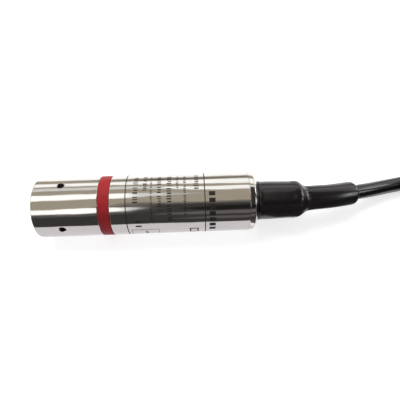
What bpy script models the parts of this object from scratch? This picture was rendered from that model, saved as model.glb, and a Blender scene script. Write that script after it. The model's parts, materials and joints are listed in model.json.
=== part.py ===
"""Submersible liquid level sensor lying on its side.

A turned nose cap with pressure ports screws on a carrier that holds an oil-filled
pressure cell. The carrier and a rear plug close a stainless tube with the
electronics inside. The vented cable leaves through a gland under a shrink boot,
and its spare length is wound into a tied hank in line with the probe.

Metres, +Z up. +X runs from the nose to the cable. The origin lies under the middle
of the probe, on the surface that it rests on.
"""
import math

import bmesh
import bpy
from mathutils import Vector

# Clearance and facets
GAP = 0.0003
MAIN_STEPS = 48
FINE_STEPS = 32
FOIL_STEPS = 24
SMALL_STEPS = 20
CAN_STEPS = 16
TINY_STEPS = 12
PIN_STEPS = 8
SEAL_STEPS = 6
CORNER_STEPS = 3
LEAD_STEPS = 8
ENTRY_STEPS = 24
RUN_STEPS = 11
TAIL_STEPS = 14
MERGE = 0.00001

# Housing tube and rear plug
BODY_DIAMETER = 0.027
TUBE_WALL = 0.0015
TUBE_LENGTH = 0.05995
PLUG_SPIGOT_LENGTH = 0.0097
PLUG_RIM_WIDTH = 0.0024
PLUG_CHAMFER_LENGTH = 0.0020
PLUG_CHAMFER_DEPTH = 0.0042
HOUSING_SEAL_SECTION = 0.0016
SEAL_GROOVE_SETBACK = 0.0035

# Nose cap, its thread and its pressure ports
CAP_LENGTH = 0.0279
CAP_EDGE = 0.0005
CAP_FRONT_WALL = 0.003
CAP_SPIGOT_LENGTH = 0.003
CAP_SPIGOT_WALL = 0.001
CAP_SEAT_STEP = 0.0008
CHAMBER_LENGTH = 0.0135
CHAMBER_FILLET = 0.0012
PORT_DIAMETER = 0.003
PORT_SETBACK = 0.0120
PORT_PAIRS = 2
PORT_ANGLE = math.radians(13)
THREAD_PITCH = 0.0015
THREAD_TURNS = 5
THREAD_RELIEF_WIDTH = 0.0012
THREAD_RELIEF_DEPTH = 0.0006

# Marker ring
RING_WIDTH = 0.00475
RING_WALL = 0.0009

# Sensor carrier and pressure cell
CARRIER_WALL = 0.0012
CARRIER_EDGE = 0.0004
CARRIER_REAR_LENGTH = 0.0138
CARRIER_REAR_BORE = 0.0105
RETAINER_SETBACK = 0.0005
RETAINER_WIDTH = 0.002
RETAINER_RADIAL_WIDTH = 0.0022
RETAINER_SLOT_WIDTH = 0.0016
RETAINER_SLOT_DEPTH = 0.0008
CELL_LENGTH = 0.0117
CELL_RIM_WIDTH = 0.0013
CELL_RECESS_DEPTH = 0.0011
CELL_SEAL_SECTION = 0.0014
CELL_SEAL_SETBACK = 0.005
DIAPHRAGM_THICKNESS = 0.0002
DIAPHRAGM_WAVES = 3
DIAPHRAGM_WAVE_HEIGHT = 0.0002
DIAPHRAGM_RIM = 0.0012
PIN_COUNT = 4
PIN_DIAMETER = 0.0009
PIN_LENGTH = 0.005
PIN_CIRCLE_DIAMETER = 0.0075
VENT_TUBE_DIAMETER = 0.0018
VENT_TUBE_BORE = 0.0009
VENT_TUBE_LENGTH = 0.007

# Electronics
SLEEVE_WALL = 0.0008
BOARD_THICKNESS = 0.0016
BOARD_FRONT_SETBACK = 0.0025
BOARD_END_SETBACK = 0.0075
BOARD_EDGE_CLEARANCE = 0.0005
BOARD_CORNER = 0.0012
LAND_LENGTH = 0.0025
CHIP_LENGTH = 0.0062
CHIP_EDGE = 0.0003
CHIP_STANDOFF = 0.0001
CHIP_LEG_WIDTH = 0.00045
CHIP_LEG_HEIGHT = 0.00035
CHIP_LEG_REACH = 0.0007
CHIP_LEG_PITCH = 0.00127
CHIP_LEG_PAIRS = 4
TRIMMER_LENGTH = 0.0046
TRIMMER_WIDTH = 0.0046
TRIMMER_HEIGHT = 0.0040
TRIMMER_SLOT_LENGTH = 0.0026
TRIMMER_SLOT_WIDTH = 0.0006
TRIMMER_SLOT_DEPTH = 0.0006
TRIMMER_EDGE_CLEARANCE = 0.0023
CAPACITOR_DIAMETER = 0.0044
CAPACITOR_LENGTH = 0.0062
ARRESTER_DIAMETER = 0.0040
ARRESTER_LENGTH = 0.0060
LEAD_DIAMETER = 0.0011
TERMINAL_LENGTH = 0.0075
TERMINAL_WIDTH = 0.0105
TERMINAL_HEIGHT = 0.0062
TERMINAL_EDGE = 0.0004
TERMINAL_PORT_HEIGHT = 0.0025
TERMINAL_PORT_DEPTH = 0.0025
TERMINAL_SCREW_DIAMETER = 0.0026
TERMINAL_SCREW_DEPTH = 0.0006

# Chips on top of the board: width, height, side
CHIPS = (
    ("amplifier_chip", 0.0050, 0.0016, -1.0),
    ("regulator_chip", 0.0045, 0.0014, 1.0),
)

# Cable, gland and shrink boot
CABLE_DIAMETER = 0.0073
CORE_DIAMETER = 0.0013
CORE_OFFSET = 0.0016
CABLE_INNER_PROTRUSION = 0.0018
BREATHER_LENGTH = 0.012
BREATHER_DIAMETER = 0.0016
BREATHER_BORE = 0.0008
BREATHER_DROP = 0.0020
GLAND_BUSH_WALL = 0.00195
GLAND_BUSH_LENGTH = 0.007
GLAND_BUSH_TAPER = 0.0008
GLAND_POCKET_SETBACK = 0.0021
GLAND_WASHER_THICKNESS = 0.001
STUB_WALL = 0.0012
NUT_BARREL_LENGTH = 0.0041
NUT_HEAD_LENGTH = 0.0023
NUT_HEAD_EDGE = 0.0006
NUT_HEAD_INSET = 0.0003
BOOT_WALL = 0.00115
BOOT_LIP = 0.0002
BOOT_LIP_LENGTH = 0.0014
BOOT_MIDDLE_TAPER = 0.0003
BOOT_END_TAPER = 0.0004
BOOT_BODY_LENGTH = 0.0180
BOOT_NECK_LENGTH = 0.0052
BOOT_NECK_STEPS = 4
BOOT_SLEEVE_LENGTH = 0.0239
BOOT_SLEEVE_WALL = 0.00175
BOOT_SLEEVE_EDGE = 0.0006
BOOT_SLEEVE_STEPS = 6
BOOT_PLEATS = 6
BOOT_PLEAT_DEPTH = 0.00022

# The boot's pleats in neck lengths: over how much they rise, where they end, their twist
PLEAT_RISE = 0.3
PLEAT_REACH = 1.6
PLEAT_TWIST = 2.0

# Stored cable: a hank of parallel runs with round folds, held by two ties
HANK_RINGS = 3
HANK_LAYERS = 3
HANK_FOLD = 3.0
HANK_RUN = 18.0
FOLD_STEPS = 12
TIE_THICKNESS = 0.0012
TIE_WIDTH = 0.0048
TIE_CORNER = 0.0008
TIE_HEAD_LENGTH = 0.0062
TIE_HEAD_DEPTH = 0.0046
TIE_HEAD_EDGE = 0.0005
TIE_HEAD_PLACE = 0.7
TIE_TAIL_LENGTH = 0.0026
TIE_TAIL_CLEARANCE = 0.0009
END_LEAD_DIAMETER = 0.0014
END_LEAD_SPREAD = 0.0032
END_LEAD_FAN = 0.0105

# Where the cable starts to bend, past the boot's body
ROUTE_LEAD = 0.0018

# Route of the cable from there, in cable diameters: along, sideways, and the share of
# the axis height left
CABLE_ROUTE = (
    (-6.0, 0.00, 1.000),
    (0.0, 0.00, 1.000),
    (1.1, 0.08, 0.986),
    (2.2, 0.22, 0.889),
    (3.3, 0.47, 0.725),
    (4.4, 0.77, 0.526),
    (5.5, 1.08, 0.323),
    (6.6, 1.40, 0.146),
    (7.7, 1.67, 0.030),
    (8.8, 1.89, 0.000),
    (10.1, 2.03, 0.000),
    (11.2, 2.05, 0.000),
)

# Stripped end in the hank's eye, in cable diameters from its middle: towards the probe,
# across, and the share of the hank's height left
TAIL_ROUTE = (
    (-0.82, 1.92, 0.74),
    (0.08, 1.50, 0.55),
    (0.96, 1.07, 0.35),
    (1.78, 0.69, 0.16),
    (2.46, 0.41, 0.04),
    (2.96, 0.30, 0.00),
    (3.30, 0.27, 0.00),
)

# Leads of the stripped end: length, place in the fan
END_LEADS = (
    ("end_lead_red", 0.0150, 0.75),
    ("end_lead_black", 0.0165, 0.25),
    ("end_lead_screen", 0.0170, -0.25),
    ("end_vent_tube", 0.0155, -0.75),
)

# Radii, worked inwards from the outside of the probe
body_radius = BODY_DIAMETER / 2
tube_bore = body_radius - TUBE_WALL
spigot_radius = tube_bore - GAP
ring_bore = body_radius - RING_WALL
cap_spigot_radius = ring_bore - GAP
cap_bore = cap_spigot_radius - CAP_SPIGOT_WALL
chamber_radius = cap_bore - CAP_SEAT_STEP
thread_radius = cap_bore - GAP
cell_pocket_radius = thread_radius - CARRIER_WALL
cell_radius = cell_pocket_radius - GAP
sleeve_bore = spigot_radius - SLEEVE_WALL
cable_radius = CABLE_DIAMETER / 2
cable_bore = cable_radius + GAP
bush_radius = cable_bore + GLAND_BUSH_WALL
gland_pocket_radius = bush_radius + GAP
stub_radius = gland_pocket_radius + STUB_WALL
boot_bore = stub_radius + GAP
axis_height = body_radius

# Stations, as distances from the nose
chamber_end = CAP_FRONT_WALL + CHAMBER_LENGTH
carrier_front = chamber_end + GAP
cap_end = CAP_LENGTH + CAP_SPIGOT_LENGTH
collar_front = cap_end + GAP
ring_front = CAP_LENGTH + GAP
ring_end = ring_front + RING_WIDTH
tube_front = ring_end + GAP
tube_end = tube_front + TUBE_LENGTH
carrier_end = collar_front + CARRIER_REAR_LENGTH
retainer_front = carrier_front + RETAINER_SETBACK
cell_front = retainer_front + RETAINER_WIDTH + GAP
cell_end = cell_front + CELL_LENGTH
pocket_floor = cell_end + GAP
plug_rim = tube_end + GAP
plug_front = plug_rim - PLUG_SPIGOT_LENGTH
plug_shoulder = plug_rim + PLUG_RIM_WIDTH + PLUG_CHAMFER_LENGTH
gland_floor = plug_shoulder + GLAND_POCKET_SETBACK
bush_front = gland_floor + GAP
washer_front = bush_front + GLAND_BUSH_LENGTH + GAP
nut_front = washer_front + GLAND_WASHER_THICKNESS + GAP
nut_head_front = nut_front + NUT_BARREL_LENGTH
nut_end = nut_head_front + NUT_HEAD_LENGTH
stub_end = nut_head_front - GAP
boot_front = plug_shoulder + GAP
boot_body_end = boot_front + BOOT_BODY_LENGTH
boot_neck_end = boot_body_end + BOOT_NECK_LENGTH
boot_end = boot_neck_end + BOOT_SLEEVE_LENGTH
sleeve_front = carrier_end + GAP
sleeve_end = plug_front - GAP
cable_inner_end = plug_front - CABLE_INNER_PROTRUSION
route_start = boot_body_end + ROUTE_LEAD
route_end = route_start + CABLE_ROUTE[-1][0] * CABLE_DIAMETER

# The board fills the sleeve between two setbacks, and its parts share its length evenly
board_front = carrier_end + BOARD_FRONT_SETBACK
board_end = sleeve_end - BOARD_END_SETBACK
lands_end = board_front + LAND_LENGTH
top_gap = (board_end - lands_end - CHIP_LENGTH - TRIMMER_LENGTH - TERMINAL_LENGTH) / 3
chip_middle = lands_end + top_gap + CHIP_LENGTH / 2
trimmer_middle = board_end - TERMINAL_LENGTH - top_gap - TRIMMER_LENGTH / 2
under_gap = (board_end - lands_end - CAPACITOR_LENGTH - ARRESTER_LENGTH) / 3
capacitor_middle = lands_end + under_gap + CAPACITOR_LENGTH / 2
arrester_middle = board_end - under_gap - ARRESTER_LENGTH / 2
board_top = BOARD_THICKNESS / 2
parts_base = board_top + GAP
trimmer_top = parts_base + TRIMMER_HEIGHT
trimmer_edge = math.sqrt(sleeve_bore ** 2 - trimmer_top ** 2) - TRIMMER_EDGE_CLEARANCE
parts_across = trimmer_edge - TRIMMER_WIDTH / 2


def material(name, colour, roughness, metallic=0.0):
    """Principled surface of one colour."""
    made = bpy.data.materials.new(name)
    made.use_nodes = True
    shader = made.node_tree.nodes["Principled BSDF"]
    shader.inputs["Base Color"].default_value = (*colour, 1.0)
    shader.inputs["Roughness"].default_value = roughness
    shader.inputs["Metallic"].default_value = metallic
    made.diffuse_color = (*colour, 1.0)
    return made


def clear_scene():
    """Remove what the start-up file holds."""
    for thing in list(bpy.data.objects):
        bpy.data.objects.remove(thing, do_unlink=True)


def new_collection(name):
    """Collection linked to the scene."""
    made = bpy.data.collections.new(name)
    bpy.context.scene.collection.children.link(made)
    return made


def smooth_step(share):
    """Smooth rise from 0 to 1 while share runs from 0 to 1."""
    held = min(max(share, 0.0), 1.0)
    return held * held * (3.0 - 2.0 * held)


def curve_value(table, column, where):
    """Value of one column of a route at a distance, on a smooth curve through its points."""
    last = len(table) - 1
    index = 0
    while index < last - 1 and where > table[index + 1][0]:
        index += 1
    before = table[max(index - 1, 0)]
    start = table[index]
    end = table[index + 1]
    after = table[min(index + 2, last)]
    span = end[0] - start[0]
    start_slope = (end[column] - before[column]) / (end[0] - before[0])
    end_slope = (after[column] - start[column]) / (after[0] - start[0])
    t = (where - start[0]) / span
    from_start = 2 * t ** 3 - 3 * t ** 2 + 1
    from_end = 3 * t ** 2 - 2 * t ** 3
    lean_start = (t ** 3 - 2 * t ** 2 + t) * span * start_slope
    lean_end = (t ** 3 - t ** 2) * span * end_slope
    return from_start * start[column] + from_end * end[column] + lean_start + lean_end


def route_offset(distance):
    """Middle of the cable at a distance from the nose, measured from the nose on the axis."""
    where = (distance - route_start) / CABLE_DIAMETER
    sideways = CABLE_DIAMETER * curve_value(CABLE_ROUTE, 1, where)
    height_left = max(curve_value(CABLE_ROUTE, 2, where), 0.0)
    drop = (axis_height - cable_radius) * (height_left - 1.0)
    return Vector((distance, sideways, drop))


def route_direction(distance):
    """Direction of the cable at a distance from the nose."""
    step = CABLE_DIAMETER / 16
    return (route_offset(distance + step) - route_offset(distance - step)).normalized()


# The boot's last section leans with the cable, so it reaches a little past its own middle
boot_rim_radius = cable_bore + BOOT_SLEEVE_WALL - BOOT_SLEEVE_EDGE
boot_overhang = boot_rim_radius * math.sqrt(1.0 - route_direction(boot_end).x ** 2)
NOSE_X = -(boot_end + boot_overhang) / 2


class Workshop:
    """Collections, frames and materials that the pieces share."""

    def __init__(self):
        self.parts = new_collection("liquid_level_sensor")
        self.cutters = new_collection("cutters")
        turn_to_x = (0.0, math.radians(90), 0.0)
        self.axis = self.frame("probe_axis", (NOSE_X, 0.0, axis_height), turn_to_x)
        self.probe = self.frame("probe_frame", (NOSE_X, 0.0, axis_height), (0.0, 0.0, 0.0))
        self.steel = material("stainless steel", (0.62, 0.61, 0.59), 0.16, 1.0)
        self.foil = material("diaphragm foil", (0.70, 0.69, 0.67), 0.28, 1.0)
        self.red = material("red plastic", (0.40, 0.03, 0.04), 0.55)
        self.boot = material("shrink tube", (0.012, 0.011, 0.012), 0.38)
        self.jacket = material("cable jacket", (0.014, 0.013, 0.014), 0.45)
        self.rubber = material("seal rubber", (0.02, 0.02, 0.02), 0.7)
        self.gold = material("gilded pins", (0.83, 0.62, 0.27), 0.25, 1.0)
        self.liner = material("insulating liner", (0.82, 0.80, 0.74), 0.5)
        self.laminate = material("board laminate", (0.02, 0.16, 0.07), 0.45)
        self.moulding = material("chip moulding", (0.02, 0.02, 0.022), 0.5)
        self.ceramic = material("ceramic", (0.72, 0.60, 0.42), 0.4)
        self.blue = material("blue plastic", (0.03, 0.12, 0.42), 0.45)
        self.green = material("green plastic", (0.03, 0.30, 0.12), 0.45)
        self.red_wire = material("red insulation", (0.55, 0.03, 0.02), 0.45)
        self.black_wire = material("black insulation", (0.02, 0.02, 0.02), 0.45)
        self.white_wire = material("white insulation", (0.75, 0.74, 0.70), 0.45)
        self.braid = material("tinned braid", (0.66, 0.65, 0.62), 0.35, 1.0)
        self.clear_tube = material("vent tube", (0.78, 0.79, 0.76), 0.3)
        self.nylon = material("black nylon", (0.025, 0.025, 0.027), 0.5)

    def frame(self, name, place, turn):
        """Empty that carries pieces."""
        made = bpy.data.objects.new(name, None)
        made.location = place
        made.rotation_euler = turn
        self.parts.objects.link(made)
        return made

    def add(self, name, data, parent, surface):
        """Piece of the object, carried by a frame."""
        made = bpy.data.objects.new(name, data)
        made.parent = parent
        if surface is not None:
            data.materials.append(surface)
        self.parts.objects.link(made)
        return made

    def make_cutter(self, thing):
        """Move an object to the cutters, out of the model."""
        self.parts.objects.unlink(thing)
        self.cutters.objects.link(thing)
        thing.hide_render = True
        thing.display_type = "WIRE"
        return thing

    def cut(self, target, cutter, operation="DIFFERENCE"):
        """Boolean of a piece with a cutter."""
        change = target.modifiers.new(cutter.name, "BOOLEAN")
        change.operation = operation
        change.solver = "EXACT"
        change.object = self.make_cutter(cutter)

    def turned(self, name, outline, surface, steps=MAIN_STEPS, parent=None):
        """Solid of revolution about a frame's Z axis.

        The outline lists (distance along, radius) round the section. Where its two
        ends lie on the axis it is left open there, otherwise it closes on itself.
        """
        turns = zip(outline, outline[1:] + outline[:1])
        if sum(a[1] * b[0] - b[1] * a[0] for a, b in turns) > 0:
            outline = outline[::-1]
        section = bmesh.new()
        corners = [section.verts.new((radius, 0.0, along)) for along, radius in outline]
        for first, second in zip(corners, corners[1:]):
            section.edges.new((first, second))
        if outline[0][1] > 0.0:
            section.edges.new((corners[-1], corners[0]))
        mesh = bpy.data.meshes.new(name)
        section.to_mesh(mesh)
        section.free()
        made = self.add(name, mesh, parent or self.axis, surface)
        sweep = made.modifiers.new("turn", "SCREW")
        sweep.axis = "Z"
        sweep.steps = steps
        sweep.render_steps = steps
        sweep.use_smooth_shade = True
        sweep.use_merge_vertices = True
        sweep.merge_threshold = MERGE
        return made

    def block(self, name, size, middle, surface, edge=0.0, parent=None):
        """Box with bevelled edges."""
        shape = bmesh.new()
        bmesh.ops.create_cube(shape, size=1.0)
        bmesh.ops.scale(shape, vec=size, verts=shape.verts)
        mesh = bpy.data.meshes.new(name)
        shape.to_mesh(mesh)
        shape.free()
        made = self.add(name, mesh, parent or self.probe, surface)
        made.location = middle
        if edge > 0.0:
            bevel = made.modifiers.new("edges", "BEVEL")
            bevel.width = edge
            bevel.segments = 1
            bevel.limit_method = "ANGLE"
        return made

    def rod(self, name, radius, length, middle, direction, surface, steps=SMALL_STEPS, parent=None):
        """Straight round bar centred on a point."""
        shape = bmesh.new()
        bmesh.ops.create_cone(
            shape, cap_ends=True, segments=steps, radius1=radius, radius2=radius, depth=length
        )
        mesh = bpy.data.meshes.new(name)
        shape.to_mesh(mesh)
        shape.free()
        made = self.add(name, mesh, parent or self.probe, surface)
        made.location = middle
        made.rotation_euler = Vector(direction).to_track_quat("Z", "Y").to_euler()
        return made

    def ring_seal(self, name, middle_radius, section_radius, along, surface):
        """O-ring round the probe's axis."""
        outline = rounded_corner((along, middle_radius), section_radius, 0, 360, SEAL_STEPS)
        return self.turned(name, outline[:-1], surface, FINE_STEPS)

    def tube(self, name, points, radius, surface, resolution=2, parent=None):
        """Round wire or cable through points."""
        data = bpy.data.curves.new(name, "CURVE")
        data.dimensions = "3D"
        data.bevel_depth = radius
        data.bevel_resolution = resolution
        data.use_fill_caps = True
        line = data.splines.new("POLY")
        line.points.add(len(points) - 1)
        for held, point in zip(line.points, points):
            held.co = (*point, 1.0)
        return self.add(name, data, parent or self.probe, surface)

    def plate(self, name, outlines, thickness, surface, parent=None):
        """Flat piece with round or straight outlines, later ones being its holes."""
        data = bpy.data.curves.new(name, "CURVE")
        data.dimensions = "2D"
        data.fill_mode = "BOTH"
        data.extrude = thickness / 2
        for outline in outlines:
            line = data.splines.new("POLY")
            line.points.add(len(outline) - 1)
            for held, point in zip(line.points, outline):
                held.co = (point[0], point[1], 0.0, 1.0)
            line.use_cyclic_u = True
        return self.add(name, data, parent or self.probe, surface)

    def settle(self, thing):
        """Turn a curve, or a piece with modifiers, into a plain mesh in the same place."""
        bpy.context.view_layer.update()
        evaluated = thing.evaluated_get(bpy.context.evaluated_depsgraph_get())
        mesh = bpy.data.meshes.new_from_object(evaluated)
        welded = bmesh.new()
        welded.from_mesh(mesh)
        bmesh.ops.remove_doubles(welded, verts=welded.verts, dist=MERGE)
        bmesh.ops.recalc_face_normals(welded, faces=welded.faces)
        welded.to_mesh(mesh)
        welded.free()
        made = bpy.data.objects.new(thing.name, mesh)
        self.parts.objects.link(made)
        made.parent = thing.parent
        made.matrix_world = thing.matrix_world.copy()
        name = thing.name
        bpy.data.objects.remove(thing, do_unlink=True)
        made.name = name
        return made


def groove(front, section, bottom_radius, outer_radius):
    """Corners of a seal groove in an outer surface, from front to back."""
    width = section + 2 * GAP
    return [
        (front, outer_radius),
        (front, bottom_radius),
        (front + width, bottom_radius),
        (front + width, outer_radius),
    ]


def rounded_corner(middle, radius, start, end, steps):
    """Points along an arc, angles in degrees."""
    points = []
    for step in range(steps + 1):
        angle = math.radians(start + (end - start) * step / steps)
        points.append((middle[0] + radius * math.cos(angle), middle[1] + radius * math.sin(angle)))
    return points


def rounded_rectangle(length, width, corner):
    """Outline of a rectangle with round corners about the origin."""
    x = length / 2 - corner
    y = width / 2 - corner
    outline = []
    for middle, start in (((x, y), 0), ((-x, y), 90), ((-x, -y), 180), ((x, -y), 270)):
        outline += rounded_corner(middle, corner, start, start + 90, CORNER_STEPS)
    return outline


def make_nose_cap(shop):
    """Closed cap with a pressure chamber, a thread bore and radial ports."""
    fillet_middle = (CAP_FRONT_WALL + CHAMBER_FILLET, chamber_radius - CHAMBER_FILLET)
    fillet = rounded_corner(fillet_middle, CHAMBER_FILLET, 90, 180, CORNER_STEPS)
    outline = [(0.0, 0.0), (0.0, body_radius - CAP_EDGE), (CAP_EDGE, body_radius)]
    outline += [(CAP_LENGTH, body_radius), (CAP_LENGTH, cap_spigot_radius)]
    outline += [(cap_end, cap_spigot_radius), (cap_end, cap_bore)]
    outline += [(chamber_end, cap_bore), (chamber_end, chamber_radius)]
    outline += fillet
    outline += [(CAP_FRONT_WALL, 0.0)]
    cap = shop.turned("nose_cap", outline, shop.steel)
    for pair in range(PORT_PAIRS):
        angle = PORT_ANGLE + math.pi * pair / PORT_PAIRS
        direction = (-math.sin(angle), -math.cos(angle), 0.0)
        drill = shop.rod(
            f"port_drill_{pair + 1}",
            PORT_DIAMETER / 2,
            BODY_DIAMETER + 4 * PORT_DIAMETER,
            (0.0, 0.0, PORT_SETBACK),
            direction,
            None,
            parent=shop.axis,
        )
        shop.cut(cap, drill)


def make_marker_ring(shop):
    """Coloured ring that snaps over the cap's spigot."""
    counterbore_end = cap_end + GAP
    shop.turned(
        "marker_ring",
        [
            (ring_front, body_radius),
            (ring_end, body_radius),
            (ring_end, tube_bore),
            (counterbore_end, tube_bore),
            (counterbore_end, ring_bore),
            (ring_front, ring_bore),
        ],
        shop.red,
    )


def make_carrier(shop):
    """Threaded carrier with the cell's pocket in front and a wire bore behind."""
    thread_end = carrier_front + THREAD_PITCH * THREAD_TURNS
    relief_radius = thread_radius - THREAD_RELIEF_DEPTH
    seal_front = tube_front + SEAL_GROOVE_SETBACK
    seal_bottom = tube_bore - HOUSING_SEAL_SECTION - 2 * GAP
    outline = [
        (carrier_front, cell_pocket_radius),
        (carrier_front, thread_radius - CARRIER_EDGE),
        (carrier_front + CARRIER_EDGE, thread_radius),
        (thread_end, thread_radius),
        (thread_end, relief_radius),
        (thread_end + THREAD_RELIEF_WIDTH, relief_radius),
        (thread_end + THREAD_RELIEF_WIDTH, thread_radius),
        (collar_front, thread_radius),
        (collar_front, spigot_radius),
    ]
    outline += groove(seal_front, HOUSING_SEAL_SECTION, seal_bottom, spigot_radius)
    outline += [
        (carrier_end, spigot_radius),
        (carrier_end, CARRIER_REAR_BORE / 2),
        (pocket_floor, CARRIER_REAR_BORE / 2),
        (pocket_floor, cell_pocket_radius),
    ]
    shop.turned("sensor_carrier", outline, shop.steel, FINE_STEPS)
    make_housing_seal(shop, "carrier_seal", seal_front)


def make_housing_seal(shop, name, groove_front):
    """O-ring between a spigot and the tube."""
    section = HOUSING_SEAL_SECTION / 2
    along = groove_front + GAP + section
    shop.ring_seal(name, tube_bore - GAP - section, section, along, shop.rubber)


def make_retainer(shop):
    """Slotted ring that holds the cell in its pocket."""
    bore = cell_radius - RETAINER_RADIAL_WIDTH
    end = retainer_front + RETAINER_WIDTH
    ring = shop.turned(
        "cell_retainer",
        [(retainer_front, cell_radius), (end, cell_radius), (end, bore), (retainer_front, bore)],
        shop.steel,
        FINE_STEPS,
    )
    slot = shop.block(
        "retainer_slot",
        (3 * cell_radius, RETAINER_SLOT_WIDTH, 2 * RETAINER_SLOT_DEPTH),
        (0.0, 0.0, retainer_front),
        None,
        parent=shop.axis,
    )
    shop.cut(ring, slot)


def make_cell(shop):
    """Oil-filled pressure cell with its foil, seal, pins and vent tube."""
    recess_radius = cell_radius - CELL_RIM_WIDTH
    recess_floor = cell_front + CELL_RECESS_DEPTH
    seal_front = cell_front + CELL_SEAL_SETBACK
    seal_bottom = cell_pocket_radius - CELL_SEAL_SECTION - 2 * GAP
    outline = [
        (recess_floor, 0.0),
        (recess_floor, recess_radius),
        (cell_front, recess_radius),
        (cell_front, cell_radius),
    ]
    outline += groove(seal_front, CELL_SEAL_SECTION, seal_bottom, cell_radius)
    outline += [(cell_end, cell_radius), (cell_end, 0.0)]
    shop.turned("pressure_cell", outline, shop.steel, FINE_STEPS)
    section = CELL_SEAL_SECTION / 2
    seal_middle = seal_front + GAP + section
    shop.ring_seal("cell_seal", cell_pocket_radius - GAP - section, section, seal_middle, shop.rubber)
    make_diaphragm(shop, recess_radius - GAP, recess_floor)
    make_cell_pins(shop)


def make_diaphragm(shop, radius, recess_floor):
    """Thin foil with concentric waves and a flat rim and middle."""
    middle = recess_floor - GAP - DIAPHRAGM_WAVE_HEIGHT - DIAPHRAGM_THICKNESS / 2
    wave_start = DIAPHRAGM_RIM
    wave_end = radius - DIAPHRAGM_RIM
    count = 4 * DIAPHRAGM_WAVES
    sheet = [(middle, 0.0)]
    for step in range(count + 1):
        share = step / count
        height = DIAPHRAGM_WAVE_HEIGHT * math.sin(2 * math.pi * DIAPHRAGM_WAVES * share)
        sheet.append((middle + height, wave_start + (wave_end - wave_start) * share))
    sheet.append((middle, radius))
    half = DIAPHRAGM_THICKNESS / 2
    front = [(along - half, out) for along, out in sheet]
    back = [(along + half, out) for along, out in reversed(sheet)]
    shop.turned("cell_diaphragm", front + back, shop.foil, FOIL_STEPS)


def pin_place(index):
    """Across and up from the axis for one pin."""
    angle = 2 * math.pi * (index + 0.5) / PIN_COUNT
    out = PIN_CIRCLE_DIAMETER / 2
    return out * math.cos(angle), out * math.sin(angle)


def make_cell_pins(shop):
    """Contact pins and the reference vent tube at the back of the cell."""
    start = cell_end + GAP
    for index in range(PIN_COUNT):
        across, up = pin_place(index)
        middle = (start + PIN_LENGTH / 2, across, up)
        name = f"cell_pin_{index + 1}"
        shop.rod(name, PIN_DIAMETER / 2, PIN_LENGTH, middle, (1, 0, 0), shop.gold, PIN_STEPS)
    end = start + VENT_TUBE_LENGTH
    outer = VENT_TUBE_DIAMETER / 2
    inner = VENT_TUBE_BORE / 2
    outline = [(start, outer), (end, outer), (end, inner), (start, inner)]
    shop.turned("cell_vent_tube", outline, shop.steel, TINY_STEPS)


def make_housing(shop):
    """Stainless tube and the insulating sleeve inside it."""
    shop.turned(
        "housing_tube",
        [
            (tube_front, body_radius),
            (tube_end, body_radius),
            (tube_end, tube_bore),
            (tube_front, tube_bore),
        ],
        shop.steel,
    )
    shop.turned(
        "insulating_sleeve",
        [
            (sleeve_front, spigot_radius),
            (sleeve_end, spigot_radius),
            (sleeve_end, sleeve_bore),
            (sleeve_front, sleeve_bore),
        ],
        shop.liner,
        FINE_STEPS,
    )


def make_rear_plug(shop):
    """Rear end piece: spigot in the tube, chamfered rim and gland stub."""
    seal_front = plug_front + SEAL_GROOVE_SETBACK
    seal_bottom = tube_bore - HOUSING_SEAL_SECTION - 2 * GAP
    outline = [(plug_front, cable_bore), (plug_front, spigot_radius)]
    outline += groove(seal_front, HOUSING_SEAL_SECTION, seal_bottom, spigot_radius)
    outline += [
        (plug_rim, spigot_radius),
        (plug_rim, body_radius),
        (plug_rim + PLUG_RIM_WIDTH, body_radius),
        (plug_shoulder, body_radius - PLUG_CHAMFER_DEPTH),
        (plug_shoulder, stub_radius),
        (stub_end, stub_radius),
        (stub_end, gland_pocket_radius),
        (gland_floor, gland_pocket_radius),
        (gland_floor, cable_bore),
    ]
    shop.turned("rear_plug", outline, shop.steel)
    make_housing_seal(shop, "plug_seal", seal_front)


def make_gland(shop):
    """Rubber bush, washer and hollow nut that clamp the cable in the stub."""
    bush_end = bush_front + GLAND_BUSH_LENGTH
    slim = bush_radius - GLAND_BUSH_TAPER
    bush = [
        (bush_front, cable_bore),
        (bush_front, slim),
        (bush_front + GLAND_BUSH_TAPER, bush_radius),
        (bush_end - GLAND_BUSH_TAPER, bush_radius),
        (bush_end, slim),
        (bush_end, cable_bore),
    ]
    shop.turned("gland_bush", bush, shop.rubber, FINE_STEPS)
    washer_end = washer_front + GLAND_WASHER_THICKNESS
    washer = [
        (washer_front, cable_bore),
        (washer_front, bush_radius),
        (washer_end, bush_radius),
        (washer_end, cable_bore),
    ]
    shop.turned("gland_washer", washer, shop.steel, SMALL_STEPS)
    head_radius = stub_radius - NUT_HEAD_INSET
    nut = [
        (nut_front, cable_bore),
        (nut_front, bush_radius),
        (nut_head_front, bush_radius),
        (nut_head_front, head_radius),
        (nut_end - NUT_HEAD_EDGE, head_radius),
        (nut_end, head_radius - NUT_HEAD_EDGE),
        (nut_end, cable_bore),
    ]
    shop.turned("gland_nut", nut, shop.steel, FINE_STEPS)


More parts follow.
